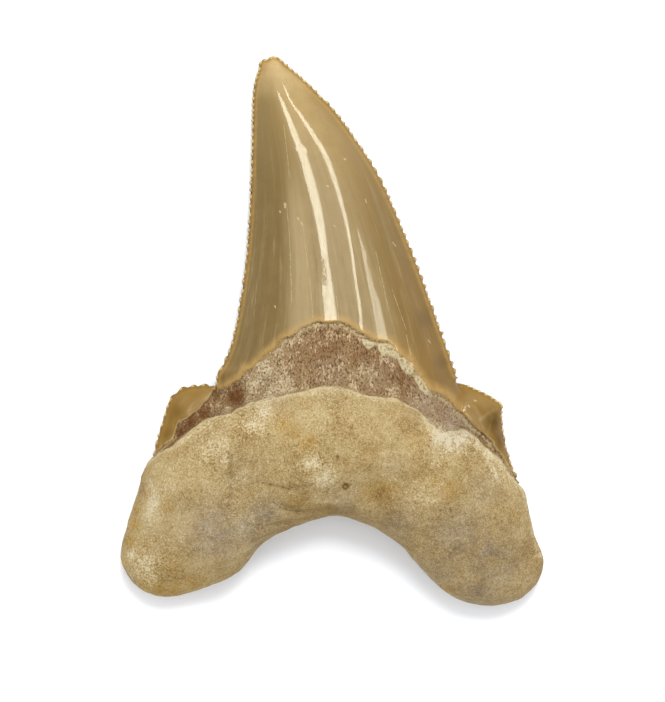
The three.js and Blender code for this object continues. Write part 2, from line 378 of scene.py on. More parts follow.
# %% [markdown]
# ## Cusplets
#
# The cusplets are small blades of their own. Each is a low pyramid: its rounded face
# rises to a blunt ridge that runs from the root to the apex.


# %% Cusplets
CUSPLET_HEIGHT = 3.4  # of a cusplet's edges above the floor at its foot; they sink a little to the apex
CUSPLET_SINK = (0.25, 1.2)  # of the flat face below them, at the apex and more at the foot
CUSPLET_COLUMNS = 60
CUSPLET_BEADS = 17


def cusplet_face(ridge, sharpness, rise):
    """Heights of a cusplet whose ridge runs up between its edges, which are at -1 and 1."""

    def face(x, y, share, v, lingual):
        """Height of the cusplet's rounded or flat face."""
        side = np.where(share > ridge, (share - ridge) / (1 - ridge), (ridge - share) / (1 + ridge))
        full = 1 - np.clip(side, 0, 1) ** sharpness
        rim = 0.2 * np.sqrt(np.clip(1 - share ** 2, 0, 1))
        height = CUSPLET_HEIGHT - 0.4 * v
        top = height + rise * (1 - v ** 1.5) ** 0.8 * full ** 1.1 + rim
        sink = CUSPLET_SINK[0] + CUSPLET_SINK[1] * (1 - v * v) ** 0.7
        bottom = height - sink * full ** 0.6 - rim
        return np.where(lingual, top, bottom)

    return face


left_cusplet = blade("left_cusplet", CUSPLET_COLUMNS, LEFT_CUSPLET_OUTER, LEFT_CUSPLET_INNER,
                     CUSPLET_BEADS - 2, 0.45, cusplet_face(0.0, 1.5, 2.9), tip=(1.6, 1.3))
right_cusplet = blade("right_cusplet", CUSPLET_COLUMNS, RIGHT_CUSPLET_INNER, RIGHT_CUSPLET_OUTER,
                      CUSPLET_BEADS, 0.58, cusplet_face(0.2, 1.35, 3.2))

# %% [markdown]
# ## Root
#
# The root is a bent bar, thickest in the middle, where the nutrient canal enters, and
# rounded at both lobes. Each section runs from the arch to the outer side.

# %% Root
ROOT_COLUMNS = 160
ROOT_ROWS = 260
END_SHARE = 0.06  # share of the root's length over which each lobe rounds off
LOBE_TOP = 3.6  # height of the root's top at a lobe's end, before that is rounded off
ARCH_TOP = 15.4  # and above the arch, in the middle of the root
LOBE_MIDDLE = 1.9  # height of a section's widest place, in the same way
ARCH_MIDDLE = 6.8


def place_root(turn, row):
    """Places of the root's skin, row by row from the left lobe to the right one."""
    along = row / ROOT_ROWS
    share = 0.4 * along + 0.6 * (1 - np.cos(np.pi * along)) / 2  # closer rows at the lobes
    outer = at_share(ROOT_OUTER, share)
    arch = at_share(ROOT_ARCH, share)
    across = np.sin(turn)
    up = np.cos(turn)
    spot = arch + (outer - arch) * ((across + 1) / 2)[:, None]
    swell = np.sin(np.pi * share)
    middle = LOBE_MIDDLE + (ARCH_MIDDLE - LOBE_MIDDLE) * swell - 0.9 * swell * (1 - across)
    top = LOBE_TOP + (ARCH_TOP - LOBE_TOP) * swell ** 0.85
    bottom = -0.1 + 1.8 * swell ** 2
    from_end = np.minimum(1, np.minimum(share, 1 - share) / END_SHARE)
    round_end = np.sqrt(1 - (1 - from_end) ** 2)
    lean = 1 + 0.12 * across * swell
    above = (top - middle) * round_end * lean * np.abs(up) ** 0.75
    below = (middle - bottom) * round_end * np.abs(up) ** 0.5
    return np.column_stack([spot, middle + np.where(up > 0, above, -below)])


root = loft("root", ROOT_COLUMNS, ROOT_ROWS, place_root)

# %% [markdown]
# ## One piece
#
# A tooth grows as one body, so the four lofts are joined in one closed skin. A Boolean
# union removes everything that is inside, and keeps the creases where the crown meets
# the root. It also leaves slivers, and a few edges that four faces share. The slivers are
# dissolved and those edges collapsed, so that every edge has two faces.

# %% Union
SLIVER = 0.015  # edges shorter than this are dissolved
COLLAPSE_ROUNDS = 3
tooth = root
for part in (crown, left_cusplet, right_cusplet):
    join = tooth.modifiers.new(part.name, "BOOLEAN")
    join.operation = "UNION"
    join.solver = "MANIFOLD"
    join.object = part
bpy.context.view_layer.update()
joined = bpy.data.meshes.new_from_object(tooth.evaluated_get(bpy.context.evaluated_depsgraph_get()))
tooth.modifiers.clear()
tooth.data = joined
tooth.name = "fossil_tooth"
for part in (crown, left_cusplet, right_cusplet):
    bpy.data.objects.remove(part)
bm = bmesh.new()
bm.from_mesh(joined)
bmesh.ops.dissolve_degenerate(bm, edges=bm.edges, dist=SLIVER)
bmesh.ops.triangulate(bm, faces=[f for f in bm.faces if len(f.verts) > 4])
for _ in range(COLLAPSE_ROUNDS):
    bmesh.ops.collapse(bm, edges=[e for e in bm.edges if len(e.link_faces) != 2])
loose = [e for e in bm.edges if not e.is_manifold]
triangles = sum(len(f.verts) - 2 for f in bm.faces)
print("joined skin:", len(bm.verts), "vertices,", triangles, "triangles,", len(loose), "open edges")
bm.to_mesh(joined)
bm.free()

# %% [markdown]
# ## Where the finishes meet
#
# Enamel, the rough band below it and the root meet along lines that can be followed on
# the surface. Each line is a height for every x, so how far a point is above it, measured
# across the line, tells on which side the point is. The flat face has one line only.

# %% Lines on the tooth
ENAMEL_LINE = smooth_path([
    [-30, -24], [-24.4, -17.1], [-23.1, -15.9], [-22.1, -14.9], [-21.7, -13.9], [-20.9, -12.8],
    [-19.8, -11.9], [-18, -10.6], [-16.9, -9.1], [-16.3, -8.1], [-15.7, -8.3], [-14.4, -7.75],
    [-12.9, -7], [-12.3, -6.1], [-11, -5], [-9, -3.3], [-7.2, -1.7], [-5, -0.3], [-3.4, 0.6], [-1.3, 1.2],
    [1.1, 0.9], [3.2, -0.1], [5.5, -1.25], [7.8, -1.9], [9.5, -3.5], [10.5, -4.1], [11.2, -5.3],
    [13.6, -8], [15.7, -9.3], [17.2, -10.7], [18.5, -12.2], [19.8, -13.5], [21.6, -15], [23, -17],
    [25, -19.7], [30, -26],
])
SHOULDER_LINE = smooth_path([
    [-30, -24], [-24.5, -17.3], [-22.2, -15.9], [-20.5, -14.3], [-19.4, -13.4], [-17.7, -12.3],
    [-16.1, -11.6], [-14.2, -11.3], [-13, -10.5], [-11.5, -9.9], [-9.6, -9.3], [-8.2, -8.8], [-5.4, -8.4],
    [-3.5, -8.1], [-1.6, -7.6], [0.4, -7.4], [1.8, -7.8], [4.5, -8.6], [6.4, -9.05], [8.3, -9.3],
    [9.7, -9.9], [11.6, -10.8], [12.8, -11.8], [14, -12.8], [15.4, -13.6], [16.6, -13.6], [17.7, -13.3],
    [18.8, -13.8], [19.8, -14.7], [20.8, -15.7], [21.8, -16.5], [23.5, -18.1], [24.6, -19.8], [30, -26],
])
FLAT_FACE_LINE = smooth_path([
    [-30, -22], [-24.8, -18.6], [-19, -15.2], [-11, -12.7], [0, -10.8], [11, -13], [19, -16], [25, -20.4],
    [30, -24],
])


def above_line(line, x, y):
    """Signed distance above a line, in millimetres."""
    slope = np.gradient(line[:, 1], line[:, 0])
    return (y - np.interp(x, line[:, 0], line[:, 1])) / np.sqrt(1 + np.interp(x, line[:, 0], slope) ** 2)


for name, line in (("enamel", ENAMEL_LINE), ("shoulder", SHOULDER_LINE), ("flat face", FLAT_FACE_LINE)):
    print(name, "line: highest", round(float(line[:, 1].max()), 1), "mm,", round(length(line), 1), "mm long")

# %% [markdown]
# ## Softer creases
#
# Where crown, cusplets and root grew together, the surface flows from one to the other,
# and a union's crease is too hard. Vertices beside the creases are smoothed a little, but
# not on the cutting edges, which have to stay thin.

# %% Smooth the creases
# the cutting edges' free stretches; the rest of each is inside the crown or the root
CUTTING_EDGES = [CROWN_LEFT[CROWN_LEFT[:, 1] > -7], CROWN_RIGHT[CROWN_RIGHT[:, 1] > -6],
                 LEFT_CUSPLET_OUTER, LEFT_CUSPLET_INNER[LEFT_CUSPLET_INNER[:, 0] < -16.6],
                 RIGHT_CUSPLET_OUTER, RIGHT_CUSPLET_INNER[RIGHT_CUSPLET_INNER[:, 0] > 18.8]]
CREASE_ANGLE = math.radians(22)
KEPT_SHARP = 0.7  # how far from a cutting edge nothing is smoothed
CREASE_RINGS = 3  # rings of vertices round a crease that are smoothed with it
SMOOTHING_ROUNDS = 10
JUNCTIONS = [(18.2, -9, 2.4), (-16.6, -9, 1.4)]  # x, y and radius where a cusplet meets the crown
JUNCTION_FLOOR = 3.6  # only what is higher belongs to the rounded face there


def coordinates(mesh, name="co"):
    """A mesh's vertex places or normals as rows."""
    flat = np.empty(len(mesh.vertices) * 3)
    mesh.vertices.foreach_get(name, flat)
    return flat.reshape(-1, 3)


def from_polyline(x, y, points):
    """Distance from a line of a few points."""
    nearest = np.full(len(x), 1e6)
    for (ax, ay), (bx, by) in zip(points, points[1:]):
        dx, dy = bx - ax, by - ay
        t = np.clip(((x - ax) * dx + (y - ay) * dy) / max(dx * dx + dy * dy, 1e-9), 0, 1)
        nearest = np.minimum(nearest, np.hypot(x - ax - t * dx, y - ay - t * dy))
    return nearest


def edge_distance(x, y):
    """Distance from the nearest cutting edge, seen from above."""
    return np.minimum.reduce([from_polyline(x, y, path[::8].tolist() + [path[-1].tolist()])
                              for path in CUTTING_EDGES])


bm = bmesh.new()
bm.from_mesh(joined)
bm.verts.ensure_lookup_table()
start = coordinates(joined)
far_from_edge = edge_distance(start[:, 0], start[:, 1]) > KEPT_SHARP
creased = set()
for edge in bm.edges:
    if edge.is_manifold and edge.calc_face_angle(0) > CREASE_ANGLE:
        creased.update(v for v in edge.verts if far_from_edge[v.index])
for _ in range(CREASE_RINGS):
    creased.update([e.other_vert(v) for v in list(creased) for e in v.link_edges
                    if far_from_edge[e.other_vert(v).index]])
flowing = set()
for jx, jy, radius in JUNCTIONS:
    near = np.hypot(start[:, 0] - jx, start[:, 1] - jy) < radius
    flowing.update(bm.verts[i] for i in np.flatnonzero(near & (start[:, 2] > JUNCTION_FLOOR)))
for verts, rounds in ((creased, SMOOTHING_ROUNDS), (flowing, 3 * SMOOTHING_ROUNDS)):
    for _ in range(rounds):
        bmesh.ops.smooth_vert(bm, verts=list(verts), factor=0.5,
                              use_axis_x=True, use_axis_y=True, use_axis_z=True)
bm.to_mesh(joined)
bm.free()
print("smoothed", len(creased), "vertices beside creases and", len(flowing), "beside the cusplets")

# %% [markdown]
# ## Relief
#
# The union is smooth, and a fossil isn't. The relief is moved into the surface itself:
# the step at the enamel's lower edge, the sunken band below it with crusts and flakes,
# folds that run to the arch, the nutrient hole, pits, and the worn unevenness of bone.

# %% Folds, holes and crusts
# each fold is its points, its depth and its half width; a negative depth makes a low ridge
FOLDS = [
    ([[-9.3, -20.6], [-7.8, -20.9], [-6.4, -21.3], [-4.9, -21.4], [-2.8, -21]], 0.16, 0.25),
    ([[-7, -23.6], [-5.9, -24.4], [-4.1, -24.7], [-2.2, -24.6], [-0.6, -24.4]], 0.16, 0.25),
    ([[-6.3, -24], [-4.1, -24.7], [0.6, -24.4]], 0.16, 0.6),
    ([[5.5, -20.6], [8, -21.4], [10.5, -21]], 0.4, 1.8),
    ([[-5, -21.8], [0, -22.2], [5, -22]], 0.25, 1.3),
    ([[2.5, -8.6], [8, -9.6], [12, -12], [14, -15]], -0.2, 1.1),
    ([[-10.2, -26.9], [-6.9, -26.2], [-3, -25.6]], 0.14, 0.22),
    ([[-10.8, -28.8], [-7.9, -27.7], [-5, -26.6]], 0.14, 0.22),
    ([[-12, -31], [-9.5, -28.9], [-7, -27.5]], 0.12, 0.2),
    ([[-13.8, -17.2], [-13.7, -19.5], [-13.9, -22.6]], 0.16, 0.35),
    ([[4.5, -26], [8.5, -26.8], [12.5, -27.2]], 0.08, 0.4),
    ([[14, -26.8], [17, -26.6], [20, -26.9]], 0.08, 0.35),
    ([[-21, -19.5], [-23.4, -22], [-25, -26]], -0.14, 0.9),
    ([[11.8, -17], [13, -19], [13.4, -20.5]], 0.22, 1.2),
    ([[12.5, -11.9], [13.5, -13.6], [14.4, -15], [15.9, -16.1]], 0.4, 0.8),
    ([[20, -15.6], [22, -16.8], [23.6, -18.4]], 0.14, 0.18),
    ([[18, -16.8], [20.5, -17.6], [22.3, -20], [23.5, -22.5]], -0.16, 0.6),
    ([[-5.4, 25.2], [-4.6, 25], [-3.8, 24.6]], 0.02, 0.3),
]
HOLES = [  # x, y, radius, depth; the first is the nutrient canal
    (1.8, -21.2, 0.35, 0.4), (0.7, -17.2, 0.28, 0.4), (3.2, -14.6, 0.16, 0.2), (6.6, -14.4, 0.2, 0.25),
    (11.4, -10, 0.22, 0.4), (10.9, -9.2, 0.18, 0.3), (13.5, -21.2, 0.2, 0.25), (16, -24.4, 0.2, 0.25),
    (-8.1, -24.9, 0.2, 0.2), (22.6, -26.4, 0.25, 0.2), (-11.3, -26.4, 0.18, 0.2),
]
CRUST = [  # where sediment cakes the band: x, y, radius, strength
    (-9.3, -5.3, 1.9, 0.9), (-10.4, -7.3, 1.9, 0.9), (-8.5, -8.8, 1.6, 0.8), (-7.3, -3, 1.2, 0.7),
    (-7, -7.6, 1.6, 0.8), (-11.2, -9.6, 1.2, 0.8), (-8.6, -9.3, 1.2, 0.8), (-5.6, -8.3, 1.1, 0.7),
    (-4.2, -7.1, 1.1, 0.5), (-4, -1.2, 1.2, 0.5), (-14.5, -10.7, 0.8, 0.7), (-16, -10.2, 0.6, 0.6),
    (4.3, -5.8, 1.7, 0.6), (8.2, -7.8, 1.3, 0.4), (13.1, -12.3, 0.8, 0.8), (14.6, -13.8, 1.2, 1),
    (16.2, -14.9, 1.2, 1), (17.8, -15.4, 0.8, 0.9), (11.5, -9.6, 0.8, 0.5),
]
FLAKES = [  # outlines of the flakes of cement on the band
    [[4, -1.1], [6, -1.8], [5, -2.6], [4.3, -1.9]],
    [[6.3, -1.94], [7.8, -1.87], [9.3, -3.05], [9.7, -3.46], [8.5, -3.67], [7, -3.46]],
    [[9, -3.6], [10.5, -4], [11.2, -5.1], [11, -5.95], [10.2, -5.8], [9.5, -4.8]],
    [[11.5, -5.8], [12.7, -6.3], [13.6, -8], [13.2, -8.8], [12.2, -8], [11.7, -6.8]],
]
print(len(FOLDS), "folds,", len(HOLES), "holes and", len(FLAKES), "flakes")

# %% [markdown]
# Every vertex now learns which finish it belongs to. Distances from the lines are shifted
# by noise of two sizes, because no border on a tooth is drawn with a ruler.


# %% Find the zones
def spots(x, y, places):
    """How strongly a point is covered by soft round spots, each x, y, radius and strength."""
    cover = np.zeros(len(x))
    for px, py, radius, strength in places:
        cover = np.maximum(cover, strength * np.exp(-((x - px) ** 2 + (y - py) ** 2) / radius ** 2))
    return cover


def rough_noise(co, size, seed, stretch=1.0):
    """Smooth noise from -1 to 1 with features of that size, drawn out along the tooth by stretch."""
    shift = Vector((seed * 17.3, seed * 5.1, seed * 9.7))
    scaled = co / np.array([size, size * stretch, size])
    return np.array([noise.noise(Vector(p) + shift) for p in scaled])


def inside_outline(x, y, outline):
    """Signed distance inside a closed outline."""
    inside = np.zeros(len(x), bool)
    closed = outline + outline[:1]
    for (ax, ay), (bx, by) in zip(closed, closed[1:]):
        if ay != by:
            inside ^= ((ay > y) != (by > y)) & (x < (bx - ax) * (y - ay) / (by - ay) + ax)
    return np.where(inside, 1, -1) * from_polyline(x, y, closed)


co = coordinates(joined)
normals = coordinates(joined, "normal")
x, y, z = co.T.copy()
on_round_face = np.maximum(smoothstep(normals[:, 2], -0.25, 0.25), smoothstep(z, 4.6, 5.4))


def on_both_faces(round_line):
    """Signed distance above a line of the rounded face, or above the flat face's one."""
    on_flat_face = 1 - on_round_face
    return above_line(round_line, x, y) * on_round_face + above_line(FLAT_FACE_LINE, x, y) * on_flat_face


enamel_mm = on_both_faces(ENAMEL_LINE) + rough_noise(co, 1.6, 1) * 0.3 + rough_noise(co, 0.5, 2) * 0.16
crumbly = rough_noise(co, 0.9, 4) + 0.6 * rough_noise(co, 0.45, 5)
crust = np.clip(spots(x, y, CRUST) + 0.2 * crumbly - 0.05, 0, 1) * on_round_face
root_mm = -on_both_faces(SHOULDER_LINE) + rough_noise(co, 1.3, 3) * 0.25 + rough_noise(co, 0.5, 16) * 0.16
root_mm += 0.5 * crust * crumbly
in_enamel = smoothstep(enamel_mm, -0.14, 0.14)
in_root = smoothstep(root_mm, -0.3, 0.5)
in_band = (1 - in_enamel) * (1 - in_root)
ragged = [0.12 * rough_noise(co, 0.8, seed) for seed in (11, 14)]
flake_mm = np.maximum.reduce([inside_outline(x + ragged[0], y + ragged[1], outline) for outline in FLAKES])
flake_mm = np.where(on_round_face > 0.5, flake_mm, -3)
for name, share in (("enamel", in_enamel), ("band", in_band), ("root", in_root)):
    print(name, "covers", round(float(share.mean()) * 100), "percent of", len(co), "vertices")

# %% Move the relief into the surface
BAND_DEPTH = 0.4  # of the band below the enamel
CRUST_RISE = (0.12, 0.1)  # of the sediment over the band, and of its crumbs over that
FLAKE_RISE = 0.26
FIBRE_RISE = 0.02
LIP_RISE = 0.26  # of the root's swollen shoulder
LIP_PLACE = (0.5, 0.45)  # its distance from the shoulder line, and its half width
ROOT_WAVES = [(7, 0.22, 6), (2.6, 0.1, 7), (1, 0.05, 8), (0.5, 0.03, 9)]  # size, height, seed
WANDER = 0.15  # how far folds and holes stray from their plain forms
FINE_FOLD = 0.7  # folds thinner than this get painted shade

crumbs = smoothstep(crumbly, 0, 0.3)
relief = in_band * (-BAND_DEPTH + crust * (CRUST_RISE[0] + CRUST_RISE[1] * crumbs)
                    + FLAKE_RISE * smoothstep(flake_mm, -0.1, 0.1))
relief += FIBRE_RISE * in_band * rough_noise(co, 0.6, 12, stretch=2.5)
relief += LIP_RISE * (1 - 0.8 * crust) * in_root * np.exp(-((root_mm - LIP_PLACE[0]) / LIP_PLACE[1]) ** 2)
for size, height, seed in ROOT_WAVES:
    relief += height * rough_noise(co, size, seed) * in_root
wander = WANDER * rough_noise(co, 1.5, 10)
# painted shade in narrow folds and in holes
hollow_shade = np.zeros(len(co))
for points, depth, width in FOLDS:
    groove = np.exp(-((from_polyline(x, y, points) + wander) / width) ** 2) * on_round_face
    relief -= depth * groove
    if width < FINE_FOLD:
        hollow_shade = np.maximum(hollow_shade, groove * np.clip(depth / 0.3, 0, 1))
for hx, hy, radius, depth in HOLES:
    away = np.hypot(x - hx, y - hy) + 0.3 * radius * wander / WANDER
    pit = np.exp(-np.clip(away / radius, 0, 9) ** 3) * on_round_face
    relief -= depth * pit
    hollow_shade = np.maximum(hollow_shade, pit * min(1, depth / 0.35))
co += normals * relief[:, None]
print("relief from", round(float(relief.min()), 2), "to", round(float(relief.max()), 2), "mm")

# %% [markdown]
# ## On the floor
#
# The tooth rests on both lobes and on the underside of the tip. Its lowest points are
# worn flat by a quarter of a millimetre, and it is centred as the frame has it.

# %% Set it on the floor
FLAT_DEPTH = 0.25
co[:, 2] = np.maximum(co[:, 2] - co[:, 2].min() - FLAT_DEPTH, 0)
co[:, :2] -= (co[:, :2].min(0) + co[:, :2].max(0)) / 2
print("size in mm", (co.max(0) - co.min(0)).round(2))
joined.vertices.foreach_set("co", (co * MM).ravel())
joined.update()
for polygon in joined.polygons:
    polygon.use_smooth = True

# %% [markdown]
# ## Colour zones
#
# Minerals stained the tooth unevenly, and some spots also paint light and shade on it. Soft round spots say
# where each stain or painted light lies. A mask could be painted by hand, but a few spots say the same, and
# they can be read and moved.
# The material breaks them up with noise, so no spot shows as a disc.

# %% Stains and painted light
# each spot is x, y, radius and strength
CHALK = [  # where the root is chalky
    (-2.8, -18, 1.2, 1.3), (-1, -19.9, 1.5, 1.2), (-10.5, -13, 1, 0.9), (-9.3, -10.9, 1, 0.9),
    (-16.6, -15.6, 1.5, 0.8), (-14.7, -15.2, 1, 0.7), (-14.4, -17.7, 0.6, 0.9), (-13.3, -20.5, 0.7, 0.7),
    (-24.9, -20.8, 0.7, 0.8), (-21.6, -21.3, 1.1, 0.6), (-24.6, -24.2, 1.7, 0.6), (-27.3, -30.7, 1, 0.9),
    (-25.9, -32.1, 1.6, 0.8), (-24.8, -33.5, 1.2, 0.6), (-14.4, -31.1, 1.3, 0.3), (14, -18, 0.8, 0.9),
    (12.2, -22.1, 1.4, 0.6), (13.3, -12.6, 1.1, 1), (14.8, -14, 1.7, 1.4), (16.4, -15, 1.7, 1.4),
    (18.4, -14.2, 1, 1.2), (19.8, -15.5, 0.9, 1.1), (21.2, -16.9, 0.8, 1), (13.4, -23, 0.8, 0.6),
    (21, -18.1, 0.6, 0.7), (22, -19.5, 0.7, 0.7), (23, -20.2, 0.6, 0.5), (28.5, -30.7, 0.9, 0.9),
    (27.8, -29.6, 0.6, 0.7), (18.3, -33.5, 0.7, 0.4), (22.6, -34.2, 1, 0.3), (24.6, -21.5, 1.5, 0.4),
    (6.9, -16.6, 0.35, 0.7), (7, -18.2, 0.35, 0.8), (8, -20.2, 0.8, 0.5),
]
OCHRE = [  # where iron turned the root ochre
    (-6.6, -13.1, 1.2, 1), (-3.3, -15.2, 1.3, 1), (-4.9, -13.9, 1, 0.8), (-26.9, -24.6, 0.8, 0.9),
    (-27.1, -26.6, 0.9, 1), (-27.7, -28.8, 0.9, 1), (-28.7, -31.8, 0.8, 0.8), (-25.9, -35.4, 1.2, 0.9),
    (-23.8, -35.7, 1.4, 1), (-21.6, -35.7, 1.5, 1), (-19.4, -34.9, 1.4, 1), (-17.9, -34.3, 0.9, 0.8),
    (-21.9, -32.5, 1.2, 0.6), (-4.4, -23.5, 0.9, 0.5), (-5.5, -24, 0.7, 0.9), (-1.6, -24.5, 0.7, 0.9),
    (5, -22.3, 1.6, 0.5), (1.8, -21.2, 0.6, 0.6), (-3, -24.4, 0.7, 0.8), (-0.3, -24.6, 0.9, 0.7),
    (6.9, -21.9, 1.6, 0.6), (4.8, -16.6, 0.3, 1), (13.7, -20.5, 0.7, 0.7), (16.1, -21.7, 1.4, 0.8),
    (15.6, -35.2, 0.8, 0.7), (25.2, -25.5, 0.4, 0.8), (12.9, -13.6, 0.9, 0.6), (11.5, -15.2, 1.3, 0.4),
    (-22.1, -24.1, 0.9, 0.6),
]
GREY = [  # where root and band are grey
    (-15.8, -27.3, 4, 1.2), (-9.3, -24.9, 2.5, 1), (-11.8, -27, 2.6, 1), (-19.4, -24.9, 3, 0.4),
    (17.4, -28.1, 5, 0.9), (21.9, -31.8, 5, 0.9), (15, -33.2, 4, 0.7), (20.5, -35.8, 4, 0.9),
    (9.4, -26.3, 3, 0.7), (1.8, -23.5, 3, 0.5), (20.5, -22.1, 3, 0.6), (8.7, -18, 1.6, 0.4),
    (21.3, -29.9, 1.8, 1.2), (17, -12.4, 3.4, 1.2), (13.2, -9.6, 2.4, 1.1), (0, -6.3, 3, 0.5),
    (6, -6.5, 3, 0.6), (-9, -7.3, 3, 0.8), (-12, -19, 3, 0.4),
]
RUST_AND_GROOVE_SHADE = [  # where the band is dark with rust, and painted shade in the groove under the left cusplet
    (-13.2, -9, 1.7, 1.3), (-15.8, -8.9, 0.8, 0.8), (-17.7, -11.4, 1.2, 1.1), (-19.4, -12.6, 1.1, 1.1),
    (-20.8, -14, 1, 1.1), (-22.4, -15.2, 1, 0.9), (21, -14.4, 0.8, 1.2), (22.6, -16.6, 0.7, 0.9),
    (-1, -2, 2.4, 0.5), (4.8, -3.8, 2.2, 0.6), (9, -6.8, 1.8, 0.9),
]
LIGHTER_AND_LIT = [  # where the root is lighter: pale tone, and painted light on its rises
    (-2, -11.7, 3.4, 0.7), (-13, -15.8, 3.6, 0.5), (-8, -12, 2.5, 0.5), (-22.5, -25.5, 4, 0.8),
    (-25.5, -30.5, 2.5, 0.2), (12.6, -25.6, 1.8, 0.5), (-11.8, -27.2, 2.2, 0.35), (3.5, -11.5, 3, 0.4),
    (15.6, -14, 1.6, 0.6), (-18.5, -19.5, 2.5, 0.4), (1.6, -22.2, 0.5, 1.4), (2.4, -21.6, 0.3, 1),
]
PALE_AND_HIGHLIGHT_LINES = [  # points, half width and strength of pale lines and of painted highlights along ridges and shoulders
    ([[17.3, -14.6], [19.8, -15.9], [22.4, -18], [24, -19.9]], 0.45, 1),
    ([[19.9, -16.1], [21.6, -18.4], [22.6, -20.6]], 0.4, 0.9),
    ([[24.8, -20.3], [26.3, -22.6], [27.1, -25.4], [27.6, -28.2]], 0.35, 0.9),
    ([[6.9, -15.9], [7.1, -18], [7, -19.8]], 0.25, 0.7),
    ([[-20.3, -17.8], [-22.6, -19.4], [-24.2, -22.2], [-24.8, -25.8]], 0.8, 0.7),
    ([[-9, -9.6], [-4.5, -8.8], [0, -8], [4.4, -9.2], [8.4, -9.9]], 0.4, 0.8),
    ([[-2.6, -23.2], [0.4, -23.4], [2.6, -22.8]], 0.3, 0.6),
    ([[19, -9.2], [21, -9.9], [22.6, -10.8]], 0.7, 0.3),
    ([[20.4, -12.2], [22.2, -11]], 0.25, 0.8),
    ([[-13.6, -11.7], [-16.5, -12.6], [-19.5, -14.4], [-22, -16.6]], 0.45, 0.8),
    ([[27.9, -29.6], [28.7, -31]], 0.3, 0.7),
]
DARKER_AND_SHADED = [  # where the root is darker: brown tone, and painted shade in its hollows
    (9.7, -12.9, 1.8, 0.7), (8, -22.2, 2.4, 0.8), (6.2, -22, 1.6, 1.7), (1.8, -21.2, 0.6, 0.8),
    (20.5, -28.8, 4, 0.6), (27.6, -30.4, 2.6, 1.4), (4, -17, 3.5, 0.35), (17.5, -19, 2.5, 0.5),
    (-16.4, -17.2, 1.2, 0.4), (12.6, -18.5, 1.8, 0.7), (6.6, -22.1, 1.8, 0.9), (-26.6, -22.1, 1.4, 0.6),
    (-22.1, -24.2, 0.9, 0.6), (-13.7, -19.4, 0.7, 0.5), (-4.4, -22.8, 2.2, 0.5), (24, -26.3, 2, 0.5),
    (21.3, -29.9, 1.8, 0.6), (-12, -15, 1.5, 0.5), (-10.7, -27.4, 1.5, 0.5), (11.5, -28.4, 1.6, 0.4),
    (9, -21, 1.4, 0.5), (16.5, -18.6, 0.9, 0.5), (3, -22.6, 1.5, 0.4),
]
GRANULAR = [  # where the root's surface is coarse
    (-11, -12.5, 4, 1), (-3, -18, 4, 0.8), (-25, -32, 4, 0.9), (-16, -16, 4, 0.9), (14, -17, 3, 0.6),
    (-14, -22, 4, 0.5), (12, -22, 3, 0.6), (22, -19, 2.5, 0.5), (0, -12, 5, 0.5), (-10, -26.5, 3, 0.6),
    (18, -15, 3, 0.8),
]
HONEY_GLOW = [  # where the enamel is thin, with a painted glow of light through it
    (16.6, -7.6, 2.6, 1), (18.6, -9.4, 1.8, 1), (13.6, -4.6, 2, 0.6), (-14.2, -5.6, 1.6, 0.5),
    (-10, 36.3, 1.2, 0.7), (-20.4, -9.6, 1.4, 0.6), (9.5, -2.2, 1.6, 0.4),
]
DEEP_AMBER_AND_SHADE = [  # where the enamel is a deep amber, and painted shade on the cusplets' far facets
    (22.4, -12.6, 1.7, 1), (23.6, -15.2, 1.9, 1), (-21.4, -11.4, 1.3, 0.35), (-20.6, -12.6, 1, 0.5),
    (24.3, -18.2, 1, 0.7), (15.7, -6.6, 1.8, 0.4), (15, -4.4, 1.4, 0.6), (12.8, 1.5, 1.4, 0.5),
    (-22.6, -14.4, 0.9, 0.4), (-15.2, -6.4, 1.1, 0.4), (16.6, -7.4, 1.2, 0.4),
]
stains_and_painted_light = (CHALK, OCHRE, GREY, RUST_AND_GROOVE_SHADE, LIGHTER_AND_LIT, DARKER_AND_SHADED, GRANULAR, HONEY_GLOW, DEEP_AMBER_AND_SHADE)
print(len(stains_and_painted_light), "kinds of stain in", sum(len(places) for places in stains_and_painted_light), "spots")

# %% [markdown]
# The material finds its way by these stains and painted lights, and by distances from the lines and edges.
# All of them are kept on the mesh as attributes, one number for each vertex, because an
# attribute stays with the surface wherever the tooth is moved.

# %% Zones kept as attributes
BEAD_REACH = 0.4  # radius of the painted highlight on a bead's crest
across = np.clip(across_crown(x, y), -1.6, 1.6)
is_outside = np.abs(across) > 1
left_of_crown = smoothstep(x, -15.2, -16.6) * smoothstep(above_line(CROWN_LEFT[:, ::-1], y, x), 0.4, -0.2)
right_of_crown = smoothstep(x, 17.2, 18.2) * smoothstep(above_line(CROWN_RIGHT[:, ::-1], y, x), -0.4, 0.2)
on_cusplet = np.maximum(left_of_crown, right_of_crown)
edge_mm = edge_distance(x, y)
